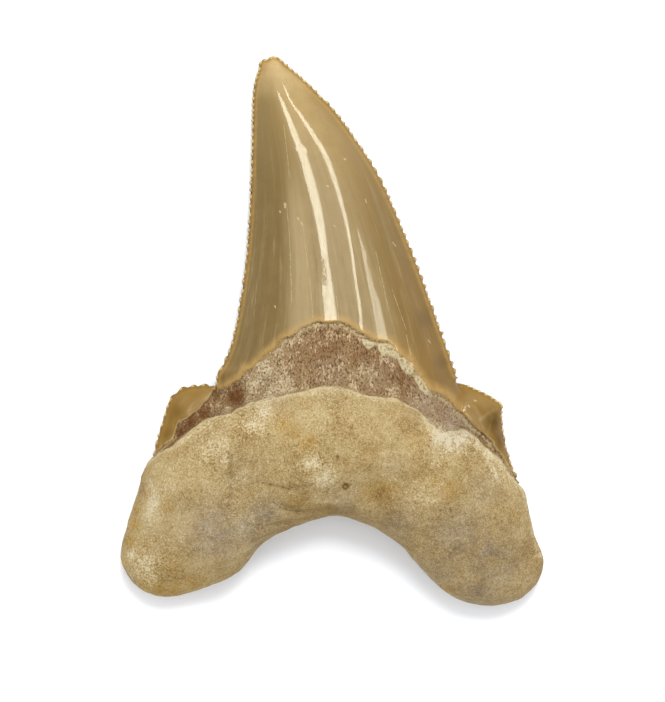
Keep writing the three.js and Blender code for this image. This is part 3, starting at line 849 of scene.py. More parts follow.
# pale lines, and painted highlights along ridges and shoulders
pale = np.zeros(len(x))
for points, width, strength in PALE_AND_HIGHLIGHT_LINES:
    pale = np.maximum(pale, strength * np.exp(-((from_polyline(x, y, points) + wander) / width) ** 2))
near_bead = np.zeros(len(x))
near_edge = np.flatnonzero(edge_mm < 1)
for bx, by in np.vstack(bead_places):
    away = np.hypot(x[near_edge] - bx, y[near_edge] - by)
    near_bead[near_edge] = np.maximum(near_bead[near_edge], np.exp(-((away / BEAD_REACH) ** 2)))
zones = {
    "enamel_mm": enamel_mm,
    "root_mm": root_mm,
    "edge_mm": edge_mm * np.where(is_outside & (on_cusplet < 0.5), -1, 1),
    "across": across,
    "cusplet": on_cusplet,
    "crust": crust,
    "flake_mm": flake_mm,
    "hollow_shade": hollow_shade,
    "bead": near_bead,
    "round_face": on_round_face,
    "ochre": spots(x, y, OCHRE),
    "grey": spots(x, y, GREY),
    # pale lines, and painted highlights along ridges and shoulders
    "pale": pale * on_round_face,
    # lighter and darker tone, with painted light on rises and painted shade in hollows
    "shade": (spots(x, y, LIGHTER_AND_LIT) - spots(x, y, DARKER_AND_SHADED)) * on_round_face,
}
only_above = {"chalk": CHALK, "rust": RUST_AND_GROOVE_SHADE, "deep": DEEP_AMBER_AND_SHADE, "honey": HONEY_GLOW, "granular": GRANULAR}
for name, places in only_above.items():
    zones[name] = spots(x, y, places) * on_round_face
for name, values in zones.items():
    layer = joined.attributes.new(name, "FLOAT", "POINT")
    layer.data.foreach_set("value", values.astype(np.float32))
print("kept", len(zones), "zones:", ", ".join(zones))

# %% [markdown]
# ## Nodes
#
# A material is a tree of nodes. Written out one by one they would hide what is made, so a
# helper adds a node, sets its values and links its inputs in one line. Colours are given
# as a painter reads them on a screen, from 0 to 255, and turned to the linear values that
# the shader needs.

# %% Helpers for nodes
EXPOSURE = 1.75  # the floor is lit brighter than white, so every colour is darkened by as much


def tint(red, green, blue):
    """A screen colour as linear values."""
    screen = [value / 255 for value in (red, green, blue)]
    linear = [c / 12.92 if c <= 0.04045 else ((c + 0.055) / 1.055) ** 2.4 for c in screen]
    return (*[c / EXPOSURE for c in linear], 1)


def fill(tree, node, inputs, out=0):
    """Sets or links a node's inputs, and gives back one of its outputs."""
    for name, value in inputs.items():
        if isinstance(value, bpy.types.NodeSocket):
            tree.links.new(value, node.inputs[name])
        else:
            node.inputs[name].default_value = value
    return node.outputs[out]


def put(tree, kind, inputs, out=0, **settings):
    """Adds a node with its settings and inputs, and gives back one of its outputs."""
    node = tree.nodes.new("ShaderNode" + kind)
    for name, value in settings.items():
        setattr(node, name, value)
    return fill(tree, node, inputs, out)


def maths(tree, operation, *values, clamp=False):
    """One calculation with sockets or numbers."""
    return put(tree, "Math", dict(enumerate(values)), operation=operation, use_clamp=clamp)


def times(tree, *values):
    """The product of several masks."""
    product = values[0]
    for value in values[1:]:
        product = maths(tree, "MULTIPLY", product, value)
    return product


def mixed(tree, share, below, above):
    """A colour that goes from below to above as share goes from 0 to 1."""
    return put(tree, "Mix", {0: share, 6: below, 7: above}, out=2, data_type="RGBA")


def painted(tree, colour, coats):
    """Lays coats over a colour in turn. Each is the mask of where it shows, and its own colour."""
    for share, paint in coats:
        colour = mixed(tree, share, colour, paint)
    return colour


def step(tree, value, start, end):
    """Goes smoothly from 0 at start to 1 at end."""
    return put(tree, "MapRange", {0: value, 1: start, 2: end}, interpolation_type="SMOOTHSTEP")


def scaled(tree, value, start, end):
    """Goes evenly from start to end as value goes from 0 to 1."""
    return put(tree, "MapRange", {0: value, 1: 0, 2: 1, 3: start, 4: end})


def kept(tree, name):
    """A zone kept on the mesh."""
    return put(tree, "Attribute", {}, out=2, attribute_name=name)


def on_object(tree):
    """The place on the tooth that is shaded, in metres."""
    return put(tree, "TexCoord", {}, out=3)


def new_group(name, inputs, output):
    """An empty node group with number sockets, its input node and its output node."""
    tree = bpy.data.node_groups.new(name, "ShaderNodeTree")
    for title, default in inputs.items():
        socket = tree.interface.new_socket(title, in_out="INPUT", socket_type="NodeSocketFloat")
        socket.default_value = default
    tree.interface.new_socket(output, in_out="OUTPUT", socket_type="NodeSocketFloat")
    return tree, tree.nodes.new("NodeGroupInput").outputs, tree.nodes.new("NodeGroupOutput").inputs[output]


def place_group(tree, group, values):
    """Places a node group with its own values."""
    node = tree.nodes.new("ShaderNodeGroup")
    node.node_tree = group
    return fill(tree, node, values)


print("a clean white is", [round(value, 2) for value in tint(255, 255, 255)], "to the shader")

# %% [markdown]
# ## Effects
#
# Three effects come back everywhere on the tooth with other values, so each is a node
# group: grains of one size, patches of one size and cover, and a band along a line. All
# are measured in millimetres on the object, and Stretch draws grains out along the tooth.

# %% Node groups
grains, given, result = new_group("grains", {"Size": 1, "Stretch": 1, "Detail": 2, "Seed": 0}, "Value")
across_scale = maths(grains, "DIVIDE", 1 / MM, given["Size"])
along_scale = maths(grains, "DIVIDE", across_scale, given["Stretch"])
scale = put(grains, "CombineXYZ", {"X": across_scale, "Y": along_scale, "Z": across_scale})
spot = put(grains, "VectorMath", {0: on_object(grains), 1: scale}, operation="MULTIPLY")
noise_inputs = {"Vector": spot, "W": given["Seed"], "Scale": 1.0, "Roughness": 0.65}
noise_inputs["Detail"] = given["Detail"]
grains.links.new(put(grains, "TexNoise", noise_inputs, noise_dimensions="4D"), result)

PATCH_INPUTS = {"Size": 3, "Stretch": 1, "Cover": 0.5, "Softness": 0.1, "Seed": 0}
patches, given, result = new_group("patches", PATCH_INPUTS, "Mask")
value = place_group(patches, grains, {"Size": given["Size"], "Stretch": given["Stretch"], "Detail": 4,
                                      "Seed": given["Seed"]})
# the noise lies between 0.32 and 0.68, so a cover from 0 to 1 asks for a value in that range
middle = maths(patches, "SUBTRACT", 0.68, maths(patches, "MULTIPLY", given["Cover"], 0.36))
low_end = maths(patches, "SUBTRACT", middle, given["Softness"])
high_end = maths(patches, "ADD", middle, given["Softness"])
patches.links.new(step(patches, value, low_end, high_end), result)

BAND_INPUTS = {"Distance": 0, "Centre": 0, "Half width": 0.5, "Softness": 0.2}
band, given, result = new_group("band", BAND_INPUTS, "Mask")
away = maths(band, "ABSOLUTE", maths(band, "SUBTRACT", given["Distance"], given["Centre"]))
outer = maths(band, "ADD", given["Half width"], given["Softness"])
band.links.new(step(band, away, outer, given["Half width"]), result)


def patchy(tree, size, cover, softness, seed, stretch=1.0):
    """Patches of that size in millimetres on a share of the surface."""
    values = {"Size": size, "Stretch": stretch, "Cover": cover, "Softness": softness, "Seed": seed}
    return place_group(tree, patches, values)


def along(tree, distance, centre, half_width, softness):
    """A band along a line."""
    values = {"Distance": distance, "Centre": centre, "Half width": half_width, "Softness": softness}
    return place_group(tree, band, values)


print("node groups:", [g.name for g in bpy.data.node_groups])

# %% [markdown]
# ## Fine lines, nicks and cracks
#
# Long hair-fine lines run up the enamel, small nicks show where it lost a grain, and thin
# cracks cross the root. They are far finer than the mesh, so a node group draws each as a
# short stroke between two points, given in millimetres. Slow waves in the point it
# measures from make it uneven. A stroke of almost no length is a round spot, and two of
# these stain the rim and the floor of the nutrient canal.

# %% Stroke group
STROKE_INPUTS = {"X": 0, "Y": 0, "From X": 0, "From Y": 0, "To X": 1, "To Y": 1, "Width": 0.1}
stroke, given, result = new_group("stroke", STROKE_INPUTS, "Mask")


def vector(operation, first, second, out=0):
    """One calculation with vectors in the stroke group."""
    return put(stroke, "VectorMath", {0: first, 1: second}, out=out, operation=operation)


here = put(stroke, "CombineXYZ", {"X": given["X"], "Y": given["Y"]})
begin = put(stroke, "CombineXYZ", {"X": given["From X"], "Y": given["From Y"]})
run = vector("SUBTRACT", put(stroke, "CombineXYZ", {"X": given["To X"], "Y": given["To Y"]}), begin)
offset = vector("SUBTRACT", here, begin)
run_squared = vector("DOT_PRODUCT", run, run, out=1)
share = maths(stroke, "DIVIDE", vector("DOT_PRODUCT", offset, run, out=1), run_squared, clamp=True)
nearest = vector("MULTIPLY", run, put(stroke, "CombineXYZ", {"X": share, "Y": share, "Z": share}))
away = vector("DISTANCE", offset, nearest, out=1)
inner = maths(stroke, "MULTIPLY", given["Width"], 0.35)
stroke.links.new(step(stroke, away, given["Width"], inner), result)

print("node group:", stroke.name)

# %% Strokes on the tooth
# each stroke is x and y where it starts, x and y where it ends, and its half width
SPLIT = [(-1.25, 9.2, -0.95, 6.4, 0.6)]  # where the left ridge is scratched dull
CANAL = HOLES[0][:2]
CANAL_RIM = [(*CANAL, CANAL[0] + 0.01, CANAL[1], 0.62)]
CANAL_FLOOR = [(*CANAL, CANAL[0] + 0.01, CANAL[1], 0.34)]
CRACKS = [
    (-9.4, -20.7, -8.3, -20.9, 0.14), (-8.3, -20.9, -6.9, -21.2, 0.12), (-6.9, -21.2, -5.4, -21.7, 0.16),
    (-7.9, -23.3, -6.9, -24.1, 0.16), (-6.9, -24.1, -5.7, -24.5, 0.18), (-5.7, -24.5, -4.1, -24.7, 0.16),
    (-5.4, -21.6, -3.6, -21.5, 0.1), (21, -15.8, 22.2, -16.6, 0.12), (22.2, -16.6, 23.3, -17.7, 0.12),
]
FINE_LINES = [
    (-6.2, 17.3, -5.7, 10.5, 0.05), (-5.7, 10.5, -5.5, 3.7, 0.07), (-3.9, 13.8, -3.3, 8.3, 0.05),
    (-3, 6.9, -2.6, 1.7, 0.06), (5.95, 10.7, 7.75, 2.8, 0.06), (8.2, 5.5, 10.1, 0, 0.05),
    (10.1, -0.7, 10.8, -3.5, 0.06), (-6.6, 28.2, -5.8, 20.8, 0.05), (0.6, 4.5, 0.9, 1.2, 0.05),
]
NICKS = [
    (-6.45, 17.3, -6.4, 16.8, 0.22), (-7.15, 16.3, -7.1, 16.1, 0.14), (-4.7, 15.3, -4.5, 15, 0.13),
    (-4.2, 14.7, -4, 14.2, 0.15), (4.55, 17.9, 4.7, 17.4, 0.08), (8.4, 12, 8.8, 11.5, 0.1),
    (1.7, 23.5, 1.9, 23.4, 0.16), (-0.7, 19.7, -0.5, 19.6, 0.14), (-7.8, 3.3, -7.7, 3, 0.12),
    (13.2, -1.4, 13.5, -1.8, 0.09), (18.7, -10.4, 18.9, -10.6, 0.16), (19.6, -9.7, 19.9, -9.8, 0.14),
    (0.3, 14.2, 0.5, 14.1, 0.12),
]


def strokes(tree, rows):
    """A mask of many strokes."""
    wave = maths(tree, "SUBTRACT", place_group(tree, grains, {"Size": 3, "Detail": 1, "Seed": 30}), 0.5)
    sway = maths(tree, "MULTIPLY", wave, 0.25)
    place = put(tree, "VectorMath", {0: on_object(tree), 1: (1 / MM, 1 / MM, 1 / MM)}, operation="MULTIPLY")
    along_x = maths(tree, "ADD", put(tree, "SeparateXYZ", {0: place}, out=0), sway)
    along_y = put(tree, "SeparateXYZ", {0: place}, out=1)
    mask = None
    for row in rows:
        values = dict(zip(("From X", "From Y", "To X", "To Y", "Width"), row))
        drawn = place_group(tree, stroke, {"X": along_x, "Y": along_y, **values})
        mask = drawn if mask is None else maths(tree, "MAXIMUM", mask, drawn)
    return times(tree, mask, kept(tree, "round_face"))


print(len(FINE_LINES), "fine lines,", len(NICKS), "nicks and", len(CRACKS), "stretches of crack")

# %% [markdown]
# ## One material
#
# The tooth is one piece, so it has one material. Enamel, band and root each get their own
# colour in it, built as a painter would: a ground, then thin coats, each with a mask that
# says where it lies. The next cells make the three colours, and masks then join them.

# %% Start the material
fossil = bpy.data.materials.new("fossil")
fossil.use_nodes = True
tree = fossil.node_tree
bsdf = tree.nodes["Principled BSDF"]
print("material", fossil.name, "starts with", len(tree.nodes), "nodes")

# %% [markdown]
# ## Enamel
#
# The enamel is honey brown, with painted shade on the flanks and a painted soft highlight towards the creamy
# tip. Fine lines run along it. It is thin at the cutting edges and at its lower rim, where it turns amber
# with a painted glow of light through it.


# %% Enamel body
def enamel_body(tree, across, up):
    """Painted shade on the flanks and painted light on the middle, which is wider low on the crown."""
    narrow = step(tree, across, -0.4, 0.05)
    wide = step(tree, across, -0.62, -0.36)
    middle = put(tree, "Mix", {0: step(tree, up, 24, 14), 2: narrow, 3: wide})
    # painted light along the crest of the rounded face
    lit_crest = times(tree, step(tree, across, -0.7, 0.1), scaled(tree, step(tree, across, 0.3, 0.9), 1, 0.45))
    between_ridges = times(tree, along(tree, across, 0.08, 0.1, 0.3), step(tree, up, 30, 22))
    # painted shade on the flanks, painted light on the middle
    return painted(tree, mixed(tree, middle, tint(134, 108, 56), tint(172, 148, 102)), [
        (step(tree, across, 0.25, 0.8), tint(140, 108, 44)),  # painted shade on the right flank
        (times(tree, step(tree, up, 18, 34), 0.35), tint(186, 158, 102)),  # paler upwards
        (times(tree, step(tree, up, 12, 36), lit_crest, 0.7), tint(200, 168, 106)),
        (times(tree, between_ridges, 0.3), tint(150, 122, 72)),
        (times(tree, step(tree, up, 31, 36.5), 0.8), tint(226, 196, 140)),  # the creamy tip, with a painted soft highlight
        (times(tree, patchy(tree, 2.4, 0.45, 0.15, 1), 0.3), tint(152, 126, 72)),  # faint clouds
    ])


def enamel_stains(tree, colour, across, up):
    """Lines that run along the crown, the stains low on the crown and on the cusplets, and painted
    highlights and shade on the cusplets.
    """
    lines = put(tree, "CombineXYZ", {"X": times(tree, across, 16), "Y": times(tree, up, 0.07)})
    streak = put(tree, "TexNoise", {"Vector": lines, "Scale": 1.0, "Detail": 5.0, "Roughness": 0.75})
    lined = scaled(tree, step(tree, up, 24, 6), 0.25, 1)
    cusplet = kept(tree, "cusplet")
    return painted(tree, colour, [
        (times(tree, step(tree, streak, 0.5, 0.72), lined, 0.5), tint(196, 172, 126)),  # pale lines
        (times(tree, step(tree, streak, 0.5, 0.3), lined, 0.5), tint(120, 92, 48)),  # dark lines
        (times(tree, step(tree, across, 0.5, 0.9), step(tree, up, 14, 2), 0.4), tint(140, 104, 34)),  # olive
        # painted glow where the enamel is thin
        (times(tree, kept(tree, "honey"), 0.75), tint(164, 124, 56)),
        (times(tree, cusplet, 0.9), tint(158, 122, 55)),
        (times(tree, cusplet, patchy(tree, 2.5, 0.5, 0.2, 33), 0.35), tint(132, 98, 42)),  # darker patches, painted shade standing for the facets
        # painted highlights on the cusplets' ridges and tops, and pale lines
        (times(tree, kept(tree, "pale"), 0.6), tint(204, 178, 132)),
        # deep amber, and painted shade on the cusplets' far facets
        (times(tree, kept(tree, "deep"), 0.95), tint(104, 74, 16)),
    ])


print("enamel has a body colour and stains")


# %% Enamel edges
def enamel_edges(tree, colour):
    """Amber where the enamel is thin, painted as a glow of light through it, with a painted highlight on
    every bead's crest and painted shade between the beads.
    """
    enamel_mm = kept(tree, "enamel_mm")
    edge_mm = kept(tree, "edge_mm")
    cusplet = kept(tree, "cusplet")
    bead = kept(tree, "bead")
    worn = patchy(tree, 1.1, 0.7, 0.2, 2)
    # painted glow of light through the thin enamel, weaker on the cusplets
    painted_glow = times(tree, scaled(tree, worn, 0.3, 0.8), scaled(tree, cusplet, 1, 0.3))
    bead_gap_shade = times(tree, along(tree, edge_mm, 0, 0.3, 0.25), step(tree, bead, 0.55, 0.25))
    bead_highlights = times(tree, along(tree, edge_mm, 0, 0.4, 0.3), step(tree, bead, 0.4, 0.8))
    return painted(tree, colour, [
        # painted glow along the cutting edges
        (times(tree, along(tree, edge_mm, 0.2, 0.15, 0.6), painted_glow), tint(194, 156, 82)),
        (times(tree, bead_gap_shade, 0.6), tint(146, 108, 46)),  # painted shade between the beads
        # painted highlights on the beads' crests
        (times(tree, bead_highlights, scaled(tree, worn, 0.5, 1)), tint(242, 220, 162)),
        (times(tree, step(tree, enamel_mm, 1.4, 0.1), painted_glow), tint(206, 166, 94)),  # the lower rim, with the painted glow
        # painted highlight along the cusplets' lower rim
        (times(tree, along(tree, enamel_mm, 0.12, 0.06, 0.1), cusplet, 0.7), tint(206, 178, 124)),
    ])


def enamel_colour(tree):
    """All of the enamel's colour."""
    across = kept(tree, "across")
    up = maths(tree, "DIVIDE", put(tree, "SeparateXYZ", {0: on_object(tree)}, out=1), MM)
    colour = enamel_body(tree, across, up)
    colour = enamel_stains(tree, colour, across, up)
    colour = enamel_edges(tree, colour)
    # painted sheen beside the left ridge
    left_sheen = times(tree, along(tree, across, -0.34, 0.03, 0.14), step(tree, up, 28, 16))
    hairs = times(tree, strokes(tree, FINE_LINES), patchy(tree, 0.5, 0.6, 0.15, 31))
    return painted(tree, colour, [
        (times(tree, left_sheen, 0.35), tint(204, 180, 132)),  # painted sheen: a soft pale band beside the left ridge
        (times(tree, hairs, 0.7), tint(224, 204, 156)),
    ])


enamel_paint = enamel_colour(tree)
print("with enamel the material has", len(tree.nodes), "nodes")

# %% [markdown]
# ## The band below the enamel
#
# Between enamel and root lies a band of bare dentine. It is brown with fine pale flecks
# along the tooth. Pale sediment cakes its left side, and flakes of grey cement cling to
# the enamel's rim on the right.


# %% Band colour
def band_grain(tree, colour, rust):
    """Sand, flecks and threads on the bare dentine, and pits all over it."""
    bare = times(tree, scaled(tree, rust, 1, 0.1), scaled(tree, kept(tree, "grey"), 1, 0.5))
    sand = patchy(tree, 0.2, 0.45, 0.1, 37, stretch=1.4)
    threads = patchy(tree, 0.22, 0.25, 0.05, 36, stretch=9)
    pits = patchy(tree, 0.26, 0.34, 0.05, 4, stretch=1.5)
    crowd = patchy(tree, 1.3, 0.42, 0.12, 29, stretch=2.2)  # where the flecks crowd together
    flecks = patchy(tree, 0.28, scaled(tree, crowd, 0.1, 0.56), 0.05, 5, stretch=2)
    return painted(tree, colour, [
        (times(tree, sand, bare, 0.5), tint(196, 166, 126)),
        (times(tree, flecks, bare, 0.95), tint(228, 204, 162)),
        (times(tree, threads, bare, 0.45), tint(204, 174, 134)),
        (times(tree, pits, 0.85), tint(84, 60, 38)),
    ])


def band_colour(tree):
    """All of the band's colour, with the sediment and the cement on it."""
    crust = kept(tree, "crust")
    flake_mm = kept(tree, "flake_mm")
    broken = scaled(tree, patchy(tree, 1.3, 0.6, 0.2, 17), 0.5, 1)
    rust = times(tree, kept(tree, "rust"), scaled(tree, broken, 0.5, 1))
    ground = mixed(tree, times(tree, kept(tree, "grey"), broken), tint(152, 117, 76), tint(178, 157, 130))
    colour = painted(tree, ground, [
        (times(tree, patchy(tree, 1.6, 0.45, 0.1, 28, stretch=1.5), 0.35), tint(134, 96, 60)),
        (rust, tint(108, 60, 8)),
        (times(tree, crust, 0.95), tint(176, 152, 108)),
    ])
    colour = band_grain(tree, colour, rust)
    crumbs = patchy(tree, 0.3, scaled(tree, crust, 0.12, 0.6), 0.04, 6)
    on_crown = step(tree, kept(tree, "across"), -0.75, -0.5)
    below_enamel = along(tree, kept(tree, "enamel_mm"), -0.3, 0.1, 0.3)
    border = times(tree, below_enamel, patchy(tree, 0.35, 0.55, 0.06, 13), on_crown)
    cement = mixed(tree, patchy(tree, 0.4, 0.55, 0.1, 14), tint(168, 148, 108), tint(224, 206, 164))
    ledge = times(tree, along(tree, flake_mm, 0, 0.05, 0.1), patchy(tree, 0.8, 0.6, 0.12, 18))
    return painted(tree, colour, [
        (times(tree, crumbs, scaled(tree, crust, 0.3, 0.85)), tint(236, 220, 182)),
        (times(tree, border, 0.8), tint(206, 188, 144)),
        (step(tree, flake_mm, -0.05, 0.05), cement),
        (times(tree, ledge, 0.8), tint(222, 210, 170)),
    ])


band_paint = band_colour(tree)
print("with the band it has", len(tree.nodes), "nodes")

# %% [markdown]
# ## Root
#
# The root is porous bone. Its colour is a fine salt and pepper of pale grains and brown
# pores over clouds of cream, ochre and grey. Where it is chalky the pale grains close up.
# One value says how light each place is, with painted light on the root's rises and ridges and painted shade
# in its hollows, and three colour ramps turn it to cream bone, grey stone or ochre iron stain.


# %% Root value
def summed(tree, value, rows):
    """Adds noise of several sizes to a value."""
    for size, strength, seed in rows:
        grain = place_group(tree, grains, {"Size": size, "Detail": 2, "Seed": seed})
        value = maths(tree, "MULTIPLY_ADD", maths(tree, "SUBTRACT", grain, 0.5), strength, value)
    return value


ROOT_GRAINS = [(0.36, 0.5, 9), (0.17, 0.9, 10)]  # size, strength, seed
ROOT_CLOUDS = [(6, 0.4, 7), (2.2, 0.35, 8), (0.9, 0.3, 6)]


def root_value(tree, grain):
    """How light the root is, from its grain, clouds, chalk, crumbs and pores, with painted light on rises
    and ridges and painted shade in hollows.
    """
    chalk = times(tree, kept(tree, "chalk"), scaled(tree, patchy(tree, 0.8, 0.6, 0.2, 41), 0.35, 1))
    # painted highlights along the root's ridges and shoulders, and pale lines
    pale = times(tree, kept(tree, "pale"), scaled(tree, patchy(tree, 0.8, 0.6, 0.12, 38), 0.35, 1))
    coarse = kept(tree, "granular")
    cover = maths(tree, "MULTIPLY_ADD", chalk, 0.4, scaled(tree, coarse, 0.18, 0.36))
    cover = maths(tree, "MULTIPLY_ADD", pale, 0.25, cover)
    crumbs = patchy(tree, 0.3, cover, 0.04, 25)
    crumb_light = maths(tree, "MAXIMUM", scaled(tree, coarse, 0.16, 0.26), scaled(tree, chalk, 0.16, 0.32))
    pores = patchy(tree, 0.3, scaled(tree, coarse, 0.22, 0.42), 0.04, 26)
    pores = times(tree, pores, scaled(tree, coarse, 0.35, 1.1))
    value = summed(tree, maths(tree, "MULTIPLY_ADD", chalk, 0.14, grain), ROOT_CLOUDS)
    # lighter and darker tone, with painted light on rises and painted shade in hollows
    parts = [(pale, 0.12), (crumbs, crumb_light), (pores, -0.22), (kept(tree, "shade"), 0.13)]
    for mask, strength in parts:
        value = maths(tree, "MULTIPLY_ADD", mask, strength, value)
    return value


bone_grain = summed(tree, 0.5, ROOT_GRAINS)
lightness = root_value(tree, bone_grain)
print("with the root's value it has", len(tree.nodes), "nodes")


# %% Root colour
def tones(tree, value, stops):
    """A colour that goes through the stops as value rises."""
    node = tree.nodes.new("ShaderNodeValToRGB")
    elements = node.color_ramp.elements
    while len(elements) < len(stops):
        elements.new(0.5)
    for element, (place, colour) in zip(elements, stops):
        element.position = place
        element.color = colour
    return fill(tree, node, {0: value})


BONE = [(0.1, tint(116, 88, 44)), (0.34, tint(166, 136, 84)), (0.5, tint(193, 166, 113)),
        (0.66, tint(211, 188, 138)), (0.9, tint(238, 224, 188))]
STONE = [(0.1, tint(104, 88, 64)), (0.5, tint(166, 147, 118)), (0.9, tint(222, 208, 182))]
IRON = [(0.1, tint(116, 84, 30)), (0.5, tint(190, 153, 80)), (0.9, tint(232, 206, 140))]

broken = scaled(tree, patchy(tree, 1.4, 0.6, 0.2, 15), 0.35, 1)
# painted highlight along the shoulder's edge
edge = times(tree, along(tree, kept(tree, "root_mm"), 0.3, 0.12, 0.35), patchy(tree, 0.6, 0.6, 0.12, 19))
root_paint = painted(tree, tones(tree, lightness, BONE), [
    (times(tree, kept(tree, "grey"), broken, 0.95), tones(tree, lightness, STONE)),
    (times(tree, kept(tree, "ochre"), broken), tones(tree, lightness, IRON)),
    (times(tree, edge, 0.8), tint(232, 212, 164)),  # painted highlight along the edge of the shoulder
])
print("with the root it has", len(tree.nodes), "nodes")

# %% [markdown]
# ## Join the colours
#
# Masks come from the distances kept on the mesh, so their borders stay crisp at any size.
# Noise chips the borders, most where the band is grey, rusty or crusted. Painted shade in the folds and
# holes, the nicks, the cracks and the nutrient canal lie over everything else.

# %% Base colour
chipped = maths(tree, "SUBTRACT", place_group(tree, grains, {"Size": 0.3, "Detail": 3, "Seed": 22}), 0.5)
enamel_line = maths(tree, "MULTIPLY_ADD", chipped, 1, kept(tree, "enamel_mm"))
is_enamel = step(tree, enamel_line, -0.04, 0.04)
is_bare = maths(tree, "SUBTRACT", 1, is_enamel)
crumbling = maths(tree, "MAXIMUM", kept(tree, "grey"), kept(tree, "crust"))
crumbling = maths(tree, "MAXIMUM", crumbling, times(tree, kept(tree, "rust"), 0.7))
root_line = maths(tree, "MULTIPLY_ADD", chipped, scaled(tree, crumbling, 1.2, 4), kept(tree, "root_mm"))
is_root = step(tree, times(tree, root_line, scaled(tree, crumbling, 1, 0.35)), -0.1, 0.14)
cracked = times(tree, along(tree, kept(tree, "across"), -0.1, 0.35, 0.15), patchy(tree, 0.8, 0.6, 0.12, 12))
gap = times(tree, along(tree, enamel_line, -0.05, 0.02, 0.05), cracked)
nicks = times(tree, strokes(tree, NICKS), patchy(tree, 0.24, 0.6, 0.1, 32))
cracks = times(tree, strokes(tree, CRACKS), is_bare, patchy(tree, 0.4, 0.5, 0.15, 39))
canal_rim = times(tree, strokes(tree, CANAL_RIM), patchy(tree, 0.35, 0.7, 0.12, 40))
base_colour = painted(tree, band_paint, [
    (is_root, root_paint),
    (is_enamel, enamel_paint),
    (times(tree, gap, 0.8), tint(80, 60, 32)),  # where the enamel has parted from the band, and painted shadow under its step
    (times(tree, nicks, 0.7), tint(236, 216, 170)),
    (times(tree, kept(tree, "hollow_shade"), is_bare, 0.6), tint(112, 84, 44)),  # painted shade in the narrow folds and the holes
    (times(tree, cracks, 0.75), tint(104, 78, 40)),
    (canal_rim, tint(96, 68, 28)),
    (times(tree, strokes(tree, CANAL_FLOOR), 0.7), tint(196, 160, 96)),
])
tree.links.new(base_colour, bsdf.inputs["Base Color"])
print("with the base colour it has", len(tree.nodes), "nodes")

# %% [markdown]
# ## Polish
#
# A clear coat gives the enamel its polish, and bone and band have none. The coat is thinner
# at the worn cutting edges and on the cusplets, and it is broken by specks, by fibres and
# by the scratch on the left ridge, so that the reflections on it look worn.

# %% Polish
ENAMEL_ROUGHNESS, BARE_ROUGHNESS = 0.35, 0.85
dull = maths(tree, "MAXIMUM", is_bare, nicks)
tree.links.new(scaled(tree, dull, ENAMEL_ROUGHNESS, BARE_ROUGHNESS), bsdf.inputs["Roughness"])
away_from_edge = scaled(tree, step(tree, kept(tree, "edge_mm"), 0.3, 2), 0.12, 1)
satin = scaled(tree, kept(tree, "cusplet"), 1, 0.08)
speckled = scaled(tree, patchy(tree, 0.17, 0.3, 0.05, 24), 1, 0.65)
scratch = times(tree, strokes(tree, SPLIT), patchy(tree, 0.22, 0.62, 0.06, 34, stretch=7))
scratched = scaled(tree, scratch, 1, 0.15)
fibrous = scaled(tree, patchy(tree, 0.3, 0.35, 0.06, 35, stretch=8), 1, 0.75)
coat = times(tree, scaled(tree, dull, 0.4, 0), away_from_edge, satin, speckled, scratched, fibrous)
tree.links.new(coat, bsdf.inputs["Coat Weight"])
bsdf.inputs["Coat Roughness"].default_value = 0.06
bsdf.inputs["Coat IOR"].default_value = 1.5
bsdf.inputs["Specular IOR Level"].default_value = 0.1
print("with its polish it has", len(tree.nodes), "nodes")

# %% [markdown]
# ## Fine grain
#
# What is finer than the mesh comes from bump: the grain of the bone, the fibres of the
# band, and faint waves along the enamel that break its reflections. It is a tenth of a
# millimetre deep, so it changes no outline.

# %% Bump
BUMP_DEPTH = 0.12
fibres = place_group(tree, grains, {"Size": 0.25, "Stretch": 3, "Detail": 2, "Seed": 21})
ripples = put(tree, "CombineXYZ", {"X": times(tree, kept(tree, "across"), 30)})
ripples = put(tree, "TexNoise", {"Vector": ripples, "Scale": 1.0, "Detail": 3.0})
wear = place_group(tree, grains, {"Size": 0.3, "Stretch": 1.6, "Detail": 2, "Seed": 27})
height = times(tree, bone_grain, is_root)
for layer, where, strength in ((fibres, is_bare, 0.8), (ripples, is_enamel, 0.05), (wear, is_enamel, 0.03)):
    height = maths(tree, "ADD", height, times(tree, layer, where, strength))
bump = put(tree, "Bump", {"Strength": 1.0, "Distance": BUMP_DEPTH * MM, "Height": height})
tree.links.new(bump, bsdf.inputs["Normal"])
joined.materials.clear()
joined.materials.append(fossil)
print("the finished material has", len(tree.nodes), "nodes")

# %% [markdown]
# ## Camera
#
# The specimen is shown from straight above, as in a catalogue of fossils. The camera
# stands far enough away that the root, which is closer to it, isn't drawn too large.

# %% Camera
VIEW_HEIGHT = 0.48  # metres above the floor
FRAME_LONG_SIDE = 97.5  # what the picture's long side shows of the floor, in millimetres
VIEW_CENTRE = (0.07, -2.9)  # a little below the middle, where the broad root is
SENSOR = 36
camera = bpy.data.objects.new("camera", bpy.data.cameras.new("camera"))
bpy.context.scene.collection.objects.link(camera)
bpy.context.scene.camera = camera
camera.data.sensor_width = SENSOR
camera.data.lens = SENSOR * VIEW_HEIGHT / (FRAME_LONG_SIDE * MM)
camera.location = (VIEW_CENTRE[0] * MM, VIEW_CENTRE[1] * MM, VIEW_HEIGHT)
camera.data.clip_start = 0.01
camera.data.clip_end = 10
print("lens", round(camera.data.lens, 1), "mm")

# %% [markdown]
# ## Floor and light
#
# The floor is plain white paper. A white world lights the tooth from all sides, and one
# softbox beyond the tip throws the soft shadow below the root. Three level strips make the
# gloss. They light nothing, and only show as reflections: a level strip is mirrored by one
# range of sideways slopes, so two of them lie on the two ridges, and a wide faint one
# lies on the right flank.

